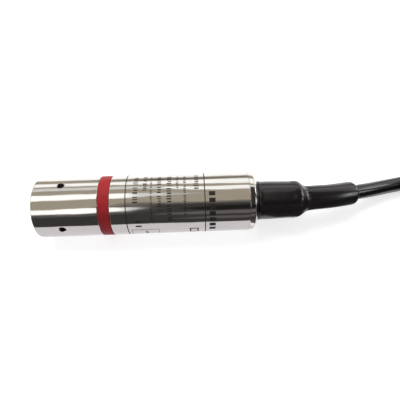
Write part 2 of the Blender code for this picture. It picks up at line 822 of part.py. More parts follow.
def boot_outline():
    """Section of the shrink boot: lipped body, neck and long sleeve on the cable."""
    body = boot_bore + BOOT_WALL
    sleeve = cable_bore + BOOT_SLEEVE_WALL
    lip = body + BOOT_LIP
    outline = [
        (boot_front, boot_bore),
        (boot_front, lip - BOOT_LIP),
        (boot_front + BOOT_LIP_LENGTH / 2, lip),
        (boot_front + BOOT_LIP_LENGTH, body),
    ]
    lip_end = boot_front + BOOT_LIP_LENGTH
    outline.append(((lip_end + boot_body_end) / 2, body - BOOT_MIDDLE_TAPER))
    body_end = body - BOOT_END_TAPER
    for step in range(BOOT_NECK_STEPS):
        share = step / BOOT_NECK_STEPS
        along = boot_body_end + BOOT_NECK_LENGTH * share
        outline.append((along, body_end + (sleeve - body_end) * smooth_step(share)))
    edge_start = boot_end - BOOT_SLEEVE_EDGE
    outer_sleeve = []
    inner_sleeve = []
    for step in range(BOOT_SLEEVE_STEPS + 1):
        share = step / BOOT_SLEEVE_STEPS
        outer_sleeve.append((boot_neck_end + (edge_start - boot_neck_end) * share, sleeve))
        inner_sleeve.append((boot_neck_end + (boot_end - boot_neck_end) * share, cable_bore))
    outline += outer_sleeve
    outline.append((boot_end, sleeve - BOOT_SLEEVE_EDGE))
    outline += reversed(inner_sleeve)
    outline.append((nut_end + GAP, boot_bore))
    return outline


def pleat(along, angle):
    """How far the neck's pleats push the outer skin in or out."""
    share = (along - boot_body_end) / BOOT_NECK_LENGTH
    rise = smooth_step(share / PLEAT_RISE)
    fall = smooth_step((PLEAT_REACH - share) / (PLEAT_REACH / 2))
    return BOOT_PLEAT_DEPTH * rise * fall * math.sin(BOOT_PLEATS * angle + PLEAT_TWIST * share)


def make_boot(shop):
    """Shrink boot, pleated at its neck and bent with the cable."""
    boot = shop.settle(shop.turned("shrink_boot", boot_outline(), shop.boot, FINE_STEPS))
    boot.data.transform(shop.probe.matrix_world.inverted() @ boot.matrix_world)
    inner_limit = cable_bore + BOOT_SLEEVE_WALL / 2
    for corner in boot.data.vertices:
        along, across, up = corner.co
        out = math.hypot(across, up)
        push = pleat(along, math.atan2(up, across)) if out > inner_limit else 0.0
        scale = (out + push) / out
        corner.co = bend_with_cable(along, across * scale, up * scale)
    boot.parent = shop.probe
    boot.matrix_world = shop.probe.matrix_world.copy()


def bend_with_cable(along, across, up):
    """Move a point of a straight sleeve onto the cable's route."""
    forward = route_direction(along)
    sideways = Vector((0.0, 1.0, 0.0))
    sideways = (sideways - forward * sideways.dot(forward)).normalized()
    upward = forward.cross(sideways)
    return route_offset(along) + sideways * across + upward * up


def make_electronics(shop):
    """Board with its parts, in the sleeve."""
    half_width = math.sqrt(sleeve_bore ** 2 - board_top ** 2) - BOARD_EDGE_CLEARANCE
    outline = rounded_rectangle(board_end - board_front, 2 * half_width, BOARD_CORNER)
    board = shop.plate("circuit_board", [outline], BOARD_THICKNESS, shop.laminate)
    board.location = ((board_front + board_end) / 2, 0.0, 0.0)
    for name, width, height, side in CHIPS:
        make_chip(shop, name, width, height, side * parts_across)
    for name, side in (("zero_trimmer", -1.0), ("span_trimmer", 1.0)):
        make_trimmer(shop, name, side * parts_across)
    for name, diameter, length, along, side in (
        ("filter_capacitor", CAPACITOR_DIAMETER, CAPACITOR_LENGTH, capacitor_middle, 0.0),
        ("surge_arrester_1", ARRESTER_DIAMETER, ARRESTER_LENGTH, arrester_middle, -1.0),
        ("surge_arrester_2", ARRESTER_DIAMETER, ARRESTER_LENGTH, arrester_middle, 1.0),
    ):
        middle = (along, side * parts_across, -(parts_base + diameter / 2))
        shop.rod(name, diameter / 2, length, middle, (1, 0, 0), shop.ceramic, CAN_STEPS)


def make_chip(shop, name, width, height, across):
    """Chip on its two rows of legs."""
    middle = (chip_middle, across, parts_base + CHIP_STANDOFF + height / 2)
    chip = shop.block(name, (CHIP_LENGTH, width, height), middle, shop.moulding, CHIP_EDGE)
    size = (CHIP_LEG_WIDTH, width + 2 * CHIP_LEG_REACH, CHIP_LEG_HEIGHT)
    for pair in range(CHIP_LEG_PAIRS):
        along = chip_middle + CHIP_LEG_PITCH * (pair - (CHIP_LEG_PAIRS - 1) / 2)
        place = (along, across, parts_base + CHIP_LEG_HEIGHT / 2)
        legs = shop.block(f"{name}_legs_{pair + 1}", size, place, None)
        shop.cut(chip, legs, "UNION")


def make_trimmer(shop, name, across):
    """Trimming resistor with a screwdriver slot."""
    middle = (trimmer_middle, across, trimmer_top - TRIMMER_HEIGHT / 2)
    size = (TRIMMER_LENGTH, TRIMMER_WIDTH, TRIMMER_HEIGHT)
    trimmer = shop.block(name, size, middle, shop.blue, CHIP_EDGE)
    slot_size = (TRIMMER_SLOT_LENGTH, TRIMMER_SLOT_WIDTH, 2 * TRIMMER_SLOT_DEPTH)
    slot = shop.block(f"{name}_slot", slot_size, (trimmer_middle, across, trimmer_top), None)
    shop.cut(trimmer, slot)


def terminal_port_places():
    """Across and up of the two cable ports in the terminal block."""
    up = parts_base + TERMINAL_PORT_HEIGHT
    return ((-TERMINAL_WIDTH / 4, up), (TERMINAL_WIDTH / 4, up))


def make_terminal(shop):
    """Screw terminal for the cable's two cores."""
    along = board_end - TERMINAL_LENGTH / 2
    middle = (along, 0.0, parts_base + TERMINAL_HEIGHT / 2)
    size = (TERMINAL_LENGTH, TERMINAL_WIDTH, TERMINAL_HEIGHT)
    terminal = shop.block("terminal_block", size, middle, shop.green, TERMINAL_EDGE)
    for index, (across, up) in enumerate(terminal_port_places()):
        port = shop.rod(
            f"terminal_port_{index + 1}",
            CORE_DIAMETER / 2 + GAP,
            2 * TERMINAL_PORT_DEPTH,
            (board_end, across, up),
            (1, 0, 0),
            None,
            TINY_STEPS,
        )
        shop.cut(terminal, port)
        well = shop.rod(
            f"terminal_well_{index + 1}",
            TERMINAL_SCREW_DIAMETER / 2,
            2 * TERMINAL_SCREW_DEPTH,
            (along, across, parts_base + TERMINAL_HEIGHT),
            (0, 0, 1),
            None,
            TINY_STEPS,
        )
        shop.cut(terminal, well)


def eased_line(start, end, steps, straight_start=0.0, straight_end=0.0):
    """Points on an S-shaped line that leaves and arrives along X."""
    reach = end[0] - start[0] - straight_start - straight_end
    points = []
    if straight_start > 0.0:
        points.append(start)
    for step in range(steps + 1):
        share = step / steps
        ease = smooth_step(share)
        points.append(
            (
                start[0] + straight_start + reach * share,
                start[1] + (end[1] - start[1]) * ease,
                start[2] + (end[2] - start[2]) * ease,
            )
        )
    if straight_end > 0.0:
        points.append(end)
    return points


def make_leads(shop):
    """Leads from the cell to the board, and from the cable to the terminal."""
    radius = LEAD_DIAMETER / 2
    surfaces = (shop.red_wire, shop.black_wire, shop.white_wire, shop.white_wire)
    for index in range(PIN_COUNT):
        across, up = pin_place(index)
        start = (cell_end + 2 * GAP + PIN_LENGTH, across, up)
        side = 1.0 if up > 0.0 else -1.0
        end = (lands_end, across, side * (parts_base + radius))
        line = eased_line(start, end, LEAD_STEPS, radius, LEAD_DIAMETER)
        shop.tube(f"cell_lead_{index + 1}", line, radius, surfaces[index])
    core_names = ("core_red", "core_black")
    core_surfaces = (shop.red_wire, shop.black_wire)
    for index, (across, up) in enumerate(terminal_port_places()):
        side = -1.0 if across < 0.0 else 1.0
        start = (board_end - TERMINAL_PORT_DEPTH + GAP, across, up)
        end = (cable_inner_end - GAP, side * CORE_OFFSET, CORE_OFFSET / 2)
        line = eased_line(start, end, LEAD_STEPS, TERMINAL_PORT_DEPTH, CORE_DIAMETER / 2)
        shop.tube(core_names[index], line, CORE_DIAMETER / 2, core_surfaces[index])
    end = cable_inner_end - GAP
    start = end - BREATHER_LENGTH
    outer = BREATHER_DIAMETER / 2
    inner = BREATHER_BORE / 2
    outline = [(start, outer), (end, outer), (end, inner), (start, inner)]
    breather = shop.turned("breather_tube", outline, shop.clear_tube, TINY_STEPS)
    breather.location = (BREATHER_DROP, 0.0, 0.0)


def make_cable(shop):
    """Cable held in the gland and boot, and the free stretch down to the hank."""
    for name, start, end, steps in (
        ("cable_entry", cable_inner_end, boot_end - GAP, ENTRY_STEPS),
        ("cable_run", boot_end, route_end, RUN_STEPS),
    ):
        points = []
        for step in range(steps + 1):
            points.append(route_offset(start + (end - start) * step / steps))
        shop.tube(name, points, cable_radius, shop.jacket)


class Hank:
    """Sizes and place of the stored cable."""

    def __init__(self):
        self.eye_radius = (HANK_FOLD - 0.5) * CABLE_DIAMETER
        self.outer_radius = self.eye_radius + HANK_RINGS * CABLE_DIAMETER
        self.straight = HANK_RUN * CABLE_DIAMETER - 2 * self.outer_radius
        self.bottom = TIE_THICKNESS + GAP
        self.height = HANK_LAYERS * CABLE_DIAMETER
        entry = route_offset(route_end)
        entry_radius = self.outer_radius - cable_radius
        edge = entry_radius - cable_radius - GAP
        fold_x = entry.x + GAP + math.sqrt(self.outer_radius ** 2 - edge ** 2)
        self.middle_x = NOSE_X + fold_x + self.straight / 2
        self.middle_y = entry.y - entry_radius

    def stadium(self, radius):
        """Outline with two straight sides and two round ends."""
        half = self.straight / 2
        right = rounded_corner((half, 0.0), radius, -90, 90, FOLD_STEPS)
        left = rounded_corner((-half, 0.0), radius, 90, 270, FOLD_STEPS)
        return right + left


def make_hank(shop):
    """Outer shape of the wound cable, its ties and its stripped end."""
    hank = Hank()
    middle = (hank.middle_x, hank.middle_y, 0.0)
    floor = shop.frame("hank_frame", middle, (0.0, 0.0, 0.0))
    outlines = [hank.stadium(hank.outer_radius), hank.stadium(hank.eye_radius)]
    coil = shop.plate("cable_hank", outlines, hank.height, shop.jacket, parent=floor)
    coil.location = (0.0, 0.0, hank.bottom + hank.height / 2)
    for index, side in enumerate((1.0, -1.0)):
        make_tie(shop, f"hank_tie_{index + 1}", hank, floor, side)
    eye = shop.frame("eye_frame", middle, (0.0, 0.0, math.pi))
    make_tail(shop, hank, eye)


def make_tie(shop, name, hank, floor, side):
    """Cable tie round one side of the hank, its square head and cut tail outside."""
    bundle_width = HANK_RINGS * CABLE_DIAMETER
    bundle_middle = hank.eye_radius + bundle_width / 2
    inner_width = bundle_width + 2 * GAP
    inner_height = hank.height + 2 * GAP
    outer_width = inner_width + 2 * TIE_THICKNESS
    outer_height = inner_height + 2 * TIE_THICKNESS
    outlines = [
        rounded_rectangle(outer_width, outer_height, TIE_CORNER + TIE_THICKNESS),
        rounded_rectangle(inner_width, inner_height, TIE_CORNER),
    ]
    strap = shop.plate(name, outlines, TIE_WIDTH, shop.nylon, parent=floor)
    strap.rotation_euler = (math.radians(90), 0.0, math.radians(90))
    strap.location = (0.0, side * bundle_middle, outer_height / 2)
    strap = shop.settle(strap)
    strap_face = bundle_middle + outer_width / 2
    head_across = strap_face - TIE_THICKNESS / 2 + TIE_HEAD_DEPTH / 2
    head_up = outer_height * TIE_HEAD_PLACE
    head_size = (TIE_HEAD_LENGTH, TIE_HEAD_DEPTH, TIE_HEAD_LENGTH)
    head_middle = (0.0, side * head_across, head_up)
    head = shop.block(f"{name}_head", head_size, head_middle, None, TIE_HEAD_EDGE, parent=floor)
    shop.cut(strap, head, "UNION")
    tail_across = strap_face + TIE_TAIL_CLEARANCE + TIE_THICKNESS / 2
    tail_length = TIE_HEAD_LENGTH / 2 + TIE_TAIL_LENGTH
    tail_size = (TIE_WIDTH, TIE_THICKNESS, tail_length)
    tail_middle = (0.0, side * tail_across, head_up + tail_length / 2)
    tail = shop.block(f"{name}_tail", tail_size, tail_middle, None, parent=floor)
    shop.cut(strap, tail, "UNION")


def make_tail(shop, hank, eye):
    """Stripped cable end lying in the hank's eye, with its leads fanned out."""
    drop = hank.bottom + hank.height - CABLE_DIAMETER
    first = TAIL_ROUTE[0][0]
    last = TAIL_ROUTE[-1][0]
    points = []
    for step in range(TAIL_STEPS + 1):
        along = first + (last - first) * step / TAIL_STEPS
        across = CABLE_DIAMETER * curve_value(TAIL_ROUTE, 1, along)
        left = max(curve_value(TAIL_ROUTE, 2, along), 0.0)
        points.append((CABLE_DIAMETER * along, across, cable_radius + drop * left))
    shop.tube("cable_tail", points, cable_radius, shop.jacket, parent=eye)
    radius = END_LEAD_DIAMETER / 2
    start_x = points[-1][0] + GAP
    middle_y = points[-1][1]
    surfaces = (shop.red_wire, shop.black_wire, shop.braid, shop.clear_tube)
    for (name, reach, turn), surface in zip(END_LEADS, surfaces):
        start = (start_x, middle_y + turn * END_LEAD_SPREAD, cable_radius)
        end = (start_x + reach, middle_y + turn * END_LEAD_FAN, radius)
        shop.tube(name, eased_line(start, end, LEAD_STEPS), radius, surface, parent=eye)


def build():
    """Make the whole sensor."""
    clear_scene()
    shop = Workshop()
    bpy.context.view_layer.update()
    make_nose_cap(shop)
    make_marker_ring(shop)
    make_carrier(shop)
    make_retainer(shop)
    make_cell(shop)
    make_housing(shop)
    make_rear_plug(shop)
    make_gland(shop)
    make_boot(shop)
    make_electronics(shop)
    make_terminal(shop)
    make_leads(shop)
    make_cable(shop)
    make_hank(shop)


build()
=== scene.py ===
"""Looks of a submersible liquid level sensor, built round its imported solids.

Metres, +Z up. +X runs from the nose to the cable. Stations are distances from the
nose along the probe, and angles round it start at +Y and rise over the top.
"""
import json
import math
import random

import bmesh
import bpy
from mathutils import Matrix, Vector


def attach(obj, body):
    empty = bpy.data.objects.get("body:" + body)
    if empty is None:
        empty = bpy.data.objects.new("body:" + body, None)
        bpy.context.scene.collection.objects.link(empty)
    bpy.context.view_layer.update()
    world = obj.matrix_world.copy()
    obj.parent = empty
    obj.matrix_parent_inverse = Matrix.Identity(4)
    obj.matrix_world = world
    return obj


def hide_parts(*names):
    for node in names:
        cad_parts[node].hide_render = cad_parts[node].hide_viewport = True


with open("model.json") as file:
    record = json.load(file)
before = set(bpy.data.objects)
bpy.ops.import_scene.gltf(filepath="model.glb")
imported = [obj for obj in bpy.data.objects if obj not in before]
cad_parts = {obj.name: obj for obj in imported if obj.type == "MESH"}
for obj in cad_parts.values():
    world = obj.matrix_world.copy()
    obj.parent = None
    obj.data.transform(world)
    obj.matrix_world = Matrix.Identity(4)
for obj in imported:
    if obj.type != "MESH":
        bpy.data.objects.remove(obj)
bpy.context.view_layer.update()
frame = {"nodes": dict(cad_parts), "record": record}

# Place of the probe
NOSE_X = -0.0735308
BODY_RADIUS = 0.0135

# Fitted camera
CAMERA_PLACE = (-0.00543, -0.0795, 0.1512)
CAMERA_TURN = (30.4083, -0.2617, -2.4074)
CAMERA_LENS = 30.87
CLIP_START = 0.005

# Light
FLOOR_HALF = 2.5
FLOOR_WHITE = 0.62
FLOOR_GLOW = 0.68
FLOOR_ROUGHNESS = 0.7
WORLD_LEVEL = 0.45
LAMP_POWER = 4.0
LAMP_SIZE = 0.45
LAMP_PLACE = (-0.15, 0.30, 0.60)
RIG_RADIUS = 0.60
PANEL_STEPS = 16
RIG_STEP = 0.004

# Visible fits, closer than the solids' clearance
SEAM = 0.00008
PLUG_SEAM = 0.00006

# Edges and facets of the turned pieces
EDGE = 0.00015
CRISP_EDGE = 0.00008
NOSE_EDGE = 0.0007
RIM_EDGE = 0.0008
SHOULDER_EDGE = 0.0003
CHAMBER_FILLET = 0.0012
SUPPORT = 0.00018
CORNER_SHARE = 0.45
TURN_STEPS = 160
ARC_STEPS = 5
ON_AXIS = 1e-7
SHARP_ANGLE = 35.0
SHARP_DRILLED = 28.0
SHARP_BOOT = 50.0

# Stations and radii of the turned pieces, as in the solids
CAP_SPIGOT_END = 0.0309
RING_FRONT = 0.0282
RING_END = 0.03295
COUNTERBORE_END = 0.0312
TUBE_FRONT = 0.03325
PLUG_FRONT = 0.0838
PLUG_RIM = 0.0935
PLUG_RIM_END = 0.0959
PLUG_SHOULDER = 0.0979
STUB_END = 0.1127
GLAND_FLOOR = 0.1000
TUBE_BORE = 0.0120
SPIGOT_RADIUS = 0.0117
RING_BORE = 0.0126
CAP_SPIGOT_RADIUS = 0.0123
CAP_BORE = 0.0113
CHAMBER_RADIUS = 0.0105
CHAMBER_END = 0.0165
CAP_WALL = 0.0030
SHOULDER_RADIUS = 0.0093
PLUG_TAPER = 0.0003
STUB_RADIUS = 0.0074
GLAND_RADIUS = 0.0062
CABLE_BORE = 0.00395
PORT_STATION = 0.0120
PORT_RADIUS = 0.0015
PORT_SINK = 0.00022
PORT_TURN = 13.0
PORT_PAIRS = 2
PORT_STEPS = 64
DRILL_OVERRUN = 0.001

# Free cable and its stored hank
CABLE_DIAMETER = 0.0073
CABLE_RADIUS = CABLE_DIAMETER / 2
CABLE_ROUNDNESS = 6
DIRECTION_STEP = CABLE_DIAMETER / 16
ROUTE_START = 0.1180
CABLE_ROUTE = (
    (-6.0, 0.00, 1.000),
    (0.0, 0.00, 1.000),
    (1.1, 0.08, 0.986),
    (2.2, 0.22, 0.889),
    (3.3, 0.47, 0.725),
    (4.4, 0.77, 0.526),
    (5.5, 1.08, 0.323),
    (6.6, 1.40, 0.146),
    (7.7, 1.67, 0.030),
    (8.8, 1.89, 0.000),
    (10.1, 2.03, 0.000),
    (11.2, 2.05, 0.000),
)
TAIL_ROUTE = (
    (-0.82, 1.92, 0.74),
    (0.08, 1.50, 0.55),
    (0.96, 1.07, 0.35),
    (1.78, 0.69, 0.16),
    (2.46, 0.41, 0.04),
    (2.96, 0.30, 0.00),
    (3.30, 0.27, 0.00),
)
HANK_MIDDLE = (0.175585, -0.021535)
HANK_HALF = 0.02555
HANK_BOTTOM = 0.0015
HANK_RADII = (0.0365, 0.0292, 0.0219)
HANK_CELLS = ((0, 0), (1, 0), (2, 0), (2, 1), (1, 1), (0, 1), (0, 2), (1, 2), (2, 2))
ROUTE_STEPS = 24
ENTRY_STEPS = 8
LAP_STEPS = 96
TAIL_STEPS = 14
SIDE_SHARE = 0.15
SHIFT_START = 0.86
SHIFT_LAG = 0.04
SHIFT_SHARE = 0.12
TAIL_DROP = 0.0161

# Where the cable's end leaves the last fold: along, across, drop
LEAVING = (
    (0.02555, 0.0219, 0.0000),
    (0.0224, 0.0217, 0.0001),
    (0.0193, 0.0210, 0.0003),
    (0.0163, 0.0198, 0.0008),
    (0.0134, 0.0183, 0.0016),
    (0.0106, 0.0167, 0.0026),
    (0.0083, 0.0153, 0.0034),
)

# Skin of the shrink boot: station, radius
BOOT_END = 0.1453
BOOT_SKIN = (
    (0.0982, 0.00862),
    (0.0984, 0.00888),
    (0.0989, 0.00903),
    (0.0995, 0.00893),
    (0.1001, 0.00884),
    (0.1030, 0.00882),
    (0.1094, 0.00866),
    (0.1135, 0.00853),
    (0.1155, 0.00850),
    (0.1168, 0.00842),
    (0.1178, 0.00805),
    (0.1188, 0.00738),
    (0.1199, 0.00658),
    (0.1209, 0.00605),
    (0.1220, 0.00585),
    (0.1235, 0.00577),
    (0.1280, 0.00570),
    (0.1330, 0.00564),
    (0.1385, 0.00567),
    (0.1430, 0.00569),
    (0.1443, 0.00566),
    (0.1448, 0.00554),
    (0.1451, 0.00532),
    (0.1453, 0.00490),
)

# Inside of the boot, from its sleeve's end back to its front: station, radius
BOOT_BORE = (
    (BOOT_END, 0.00400),
    (BOOT_END - 0.0001, 0.00375),
    (BOOT_END - 0.0030, CABLE_BORE),
    (0.1380, CABLE_BORE),
    (0.1300, CABLE_BORE),
    (0.1220, CABLE_BORE),
    (0.1162, CABLE_BORE),
    (0.1156, 0.00770),
    (0.0982, 0.00770),
)

# Facets of the boot, and the folds of its neck
BOOT_TURNS = 180
BOOT_STEP = 0.0003
NECK_MIDDLE = 0.1196
NECK_REACH = 0.0032
NECK_PLEATS = 10
NECK_PLEAT_START = 118.0
NECK_PLEAT_DEPTH = 0.00018
NECK_PLEAT_SHARE = 0.8
NECK_PINCH_SHARE = 0.35
NECK_RIDGE_POWER = 0.3
NECK_EVEN = 0.75

# How the neck's folds differ round the boot: size, waves, turn
NECK_UNEVEN = (
    (0.35, 2.0, 40.0),
    (0.20, 5.0, 0.0),
)

# Knots where the boot gathered as it shrank: station, angle, height, reach
NECK_KNOTS = (
    (0.1152, 119.0, 0.00016, 0.0009),
    (0.1149, 83.0, 0.00012, 0.0008),
    (0.1172, 101.0, -0.00014, 0.0009),
    (0.1176, 135.0, -0.00012, 0.0010),
    (0.1209, 86.0, 0.00012, 0.0007),
    (0.1210, 116.0, 0.00014, 0.0008),
    (0.1150, 45.0, 0.00020, 0.0009),
    (0.1195, 165.0, 0.00020, 0.0010),
    (0.1152, 215.0, 0.00022, 0.0009),
    (0.1206, 255.0, 0.00022, 0.0008),
    (0.1148, 300.0, 0.00022, 0.0009),
    (0.1205, 350.0, 0.00020, 0.0008),
)

# Laser marking, all of it plain bars and lines
MARK_HEIGHT = 0.000012
MARK_STEP = 2.0
FRAME_LINES = (0.04004, 0.07394)
FRAME_LINE_WIDTH = 0.00042
FRAME_LINE_REACH = 165.0
BLOCK_COUNT = 7
BLOCK_START = 100.0
BLOCK_PITCH = 12.4
BLOCK_REACH = 8.2
BLOCK_STATION = 0.0757
BLOCK_WIDTH = 0.0027
MARK_SEED = 11
BAR_GROUP = (2, 6)
BAR_SPREAD = (0.7, 1.15)
BAR_INSETS = (0.0, 0.0, 0.12, 0.25)
GROUP_GAP = 1.2

# Rows of bars: station, width, first and last angle, bar length, gap
BAR_ROWS = (
    (0.0431, 0.0021, 60.0, 118.0, 2.6, 2.6),
    (0.0474, 0.0017, 58.0, 96.0, 2.4, 2.2),
    (0.0505, 0.0008, 60.0, 158.0, 1.8, 1.6),
    (0.0535, 0.0017, 60.0, 138.0, 2.6, 2.4),
    (0.0576, 0.0020, 60.0, 158.0, 2.6, 2.4),
    (0.0616, 0.0011, 60.0, 92.0, 1.8, 1.6),
    (0.0648, 0.0011, 60.0, 142.0, 2.0, 1.8),
    (0.0692, 0.0022, 58.0, 98.0, 2.8, 2.4),
    (0.0472, 0.0014, 182.0, 200.0, 2.4, 2.2),
)

# Frames and small blocks: station, width, first and last angle
MARK_FRAMES = (
    (0.0415, 0.0002, 176.0, 206.0),
    (0.0533, 0.0002, 176.0, 206.0),
    (0.0415, 0.0120, 175.0, 176.0),
    (0.0436, 0.0026, 152.0, 156.0),
    (0.0436, 0.0026, 163.0, 167.0),
    (0.0670, 0.0040, 176.0, 179.0),
    (0.0670, 0.0040, 190.0, 193.0),
    (0.0670, 0.0006, 179.0, 190.0),
    (0.0704, 0.0006, 179.0, 190.0),
)


def clear(value, low, high):
    """Value kept between two limits."""
    return min(max(value, low), high)


def smooth_step(share):
    """Smooth rise from 0 to 1 while share runs from 0 to 1."""
    held = clear(share, 0.0, 1.0)
    return held * held * (3.0 - 2.0 * held)


def curve_value(table, column, where):
    """Value of one column of a table at a place, on a smooth curve through its points."""
    last = len(table) - 1
    index = 0
    while index < last - 1 and where > table[index + 1][0]:
        index += 1
    before = table[max(index - 1, 0)]
    start = table[index]
    end = table[index + 1]
    after = table[min(index + 2, last)]
    span = end[0] - start[0]
    start_slope = (end[column] - before[column]) / (end[0] - before[0])
    end_slope = (after[column] - start[column]) / (after[0] - start[0])
    t = (where - start[0]) / span
    from_start = 2 * t ** 3 - 3 * t ** 2 + 1
    from_end = 3 * t ** 2 - 2 * t ** 3
    lean_start = (t ** 3 - 2 * t ** 2 + t) * span * start_slope
    lean_end = (t ** 3 - t ** 2) * span * end_slope
    return from_start * start[column] + from_end * end[column] + lean_start + lean_end


def route_point(station):
    """Middle of the cable at a station, in the row frame."""
    where = (station - ROUTE_START) / CABLE_DIAMETER
    sideways = CABLE_DIAMETER * curve_value(CABLE_ROUTE, 1, where)
    height_left = max(curve_value(CABLE_ROUTE, 2, where), 0.0)
    up = CABLE_RADIUS + (BODY_RADIUS - CABLE_RADIUS) * height_left
    return Vector((NOSE_X + station, sideways, up))


def route_direction(station):
    """Direction of the cable at a station."""
    ahead = route_point(station + DIRECTION_STEP)
    return (ahead - route_point(station - DIRECTION_STEP)).normalized()


def around(station, radius, angle):
    """Point on the probe at an angle in degrees from +Y over the top."""
    turn = math.radians(angle)
    y = radius * math.cos(turn)
    z = BODY_RADIUS + radius * math.sin(turn)
    return Vector((NOSE_X + station, y, z))


class Finish:
    """Procedural material under construction."""

    def __init__(self, name, colour, roughness, metallic=0.0):
        self.material = bpy.data.materials.new(name)
        self.material.use_nodes = True
        self.material.diffuse_color = (*colour, 1.0)
        self.tree = self.material.node_tree
        self.shader = self.tree.nodes["Principled BSDF"]
        self.shader.inputs["Base Color"].default_value = (*colour, 1.0)
        self.shader.inputs["Roughness"].default_value = roughness
        self.shader.inputs["Metallic"].default_value = metallic
        self.place = self.tree.nodes.new("ShaderNodeTexCoord").outputs["Object"]

    def join(self, source, target):
        """Link two sockets."""
        self.tree.links.new(source, target)

    def scaled(self, stretch):
        """Object coordinates scaled per axis."""
        mapping = self.tree.nodes.new("ShaderNodeMapping")
        mapping.inputs["Scale"].default_value = stretch
        self.join(self.place, mapping.inputs["Vector"])
        return mapping.outputs["Vector"]

    def noise(self, stretch, detail=2.0):
        """Noise pattern, with its cells per metre along each axis."""
        made = self.tree.nodes.new("ShaderNodeTexNoise")
        made.inputs["Scale"].default_value = 1.0
        made.inputs["Detail"].default_value = detail
        self.join(self.scaled(stretch), made.inputs["Vector"])
        return made.outputs["Fac"]

    def cells(self, stretch):
        """Distance pattern of small cells."""
        made = self.tree.nodes.new("ShaderNodeTexVoronoi")
        made.inputs["Scale"].default_value = 1.0
        self.join(self.scaled(stretch), made.inputs["Vector"])
        return made.outputs["Distance"]

    def spread(self, source, low, high, to_low, to_high):
        """Map one range of a value to another, held at its ends."""
        made = self.tree.nodes.new("ShaderNodeMapRange")
        made.inputs["From Min"].default_value = low
        made.inputs["From Max"].default_value = high
        made.inputs["To Min"].default_value = to_low
        made.inputs["To Max"].default_value = to_high
        self.join(source, made.inputs["Value"])
        return made.outputs["Result"]

    def vary_colour(self, source, first, second):
        """Colour that runs between two by a value."""
        made = self.tree.nodes.new("ShaderNodeMix")
        made.data_type = "RGBA"
        sockets = [socket for socket in made.inputs if socket.type == "RGBA"]
        sockets[0].default_value = (*first, 1.0)
        sockets[1].default_value = (*second, 1.0)
        self.join(source, made.inputs["Factor"])
        result = [socket for socket in made.outputs if socket.type == "RGBA"][0]
        self.join(result, self.shader.inputs["Base Color"])
        return self

    def vary_roughness(self, source, low, high):
        """Roughness that runs between two by a value."""
        self.join(self.spread(source, 0.3, 0.7, low, high), self.shader.inputs["Roughness"])
        return self

    def bump(self, source, strength, distance):
        """Fine relief from a value, added to what is there."""
        made = self.tree.nodes.new("ShaderNodeBump")
        made.inputs["Strength"].default_value = strength
        made.inputs["Distance"].default_value = distance
        self.join(source, made.inputs["Height"])
        held = self.shader.inputs["Normal"]
        if held.links:
            self.join(held.links[0].from_socket, made.inputs["Normal"])
        self.join(made.outputs["Normal"], held)
        return self


def scaled_colour(colour, share):
    """Colour made darker or lighter."""
    return tuple(clear(channel * share, 0.0, 1.0) for channel in colour)


def turned_steel(name, colour, roughness):
    """Turned metal: fine marks round the probe's axis and faint waves from polishing."""
    made = Finish(name, colour, roughness, 1.0)
    patches = made.noise((60.0, 90.0, 90.0), 3.0)
    made.vary_colour(made.spread(patches, 0.35, 0.7, 0.0, 1.0), colour, scaled_colour(colour, 0.94))
    marks = made.noise((9000.0, 60.0, 60.0), 2.0)
    made.vary_roughness(patches, roughness * 0.8, roughness * 1.35)
    made.bump(marks, 0.035, 0.00001)
    waves = made.noise((45.0, 260.0, 260.0), 2.0)
    made.bump(waves, 1.0, 0.00007)
    return made.material


def moulded(name, colour, roughness, grain=2200.0, depth=0.00001, shine=0.5):
    """Plastic or rubber with a fine moulded grain and slightly uneven colour."""
    made = Finish(name, colour, roughness)
    made.shader.inputs["Specular IOR Level"].default_value = shine
    patches = made.noise((240.0, 240.0, 240.0), 3.0)
    shades = made.spread(patches, 0.3, 0.7, 0.0, 1.0)
    made.vary_colour(shades, scaled_colour(colour, 0.86), scaled_colour(colour, 1.12))
    made.vary_roughness(patches, roughness * 0.88, roughness * 1.12)
    made.bump(made.noise((grain, grain, grain), 2.0), 0.35, depth)
    return made.material


def drawn_wire(name, colour, roughness, metallic=0.0):
    """Extruded insulation or metal with faint streaks along the probe."""
    made = Finish(name, colour, roughness, metallic)
    streaks = made.noise((120.0, 2600.0, 2600.0), 2.0)
    shades = made.spread(streaks, 0.3, 0.7, 0.0, 1.0)
    made.vary_colour(shades, scaled_colour(colour, 0.85), scaled_colour(colour, 1.1))
    made.vary_roughness(streaks, roughness * 0.85, roughness * 1.15)
    made.bump(streaks, 0.3, 0.00002)
    return made.material


def braided(name, colour):
    """Twisted tinned strands."""
    made = Finish(name, colour, 0.35, 1.0)
    strands = made.cells((2400.0, 5200.0, 5200.0))
    made.vary_colour(made.spread(strands, 0.1, 0.6, 0.0, 1.0), scaled_colour(colour, 0.6), colour)
    made.vary_roughness(strands, 0.3, 0.5)
    made.bump(strands, 0.7, 0.00008)
    return made.material


def board_finish(name, colour):
    """Lacquered board with faint copper under the lacquer."""
    made = Finish(name, colour, 0.35)
    tracks = made.cells((520.0, 520.0, 40.0))
    made.vary_colour(
        made.spread(tracks, 0.25, 0.3, 0.0, 1.0), scaled_colour(colour, 1.7), colour
    )
    weave = made.noise((3000.0, 3000.0, 600.0), 2.0)
    made.vary_roughness(weave, 0.3, 0.42)
    made.bump(tracks, 0.4, 0.00004)
    return made.material


def shrink_finish(name, colour):
    """Shrink tube: satin black with a soft orange-peel."""
    made = Finish(name, colour, 0.2)
    patches = made.noise((160.0, 260.0, 260.0), 3.0)
    dust = made.noise((2600.0, 2600.0, 2600.0), 2.0)
    made.vary_colour(made.spread(dust, 0.5, 0.75, 0.0, 1.0), colour, scaled_colour(colour, 2.4))
    made.vary_roughness(patches, 0.20, 0.27)
    made.bump(made.noise((1100.0, 1100.0, 1100.0), 2.0), 0.12, 0.00002)
    made.bump(made.noise((45.0, 320.0, 320.0), 2.0), 0.3, 0.00010)
    return made.material


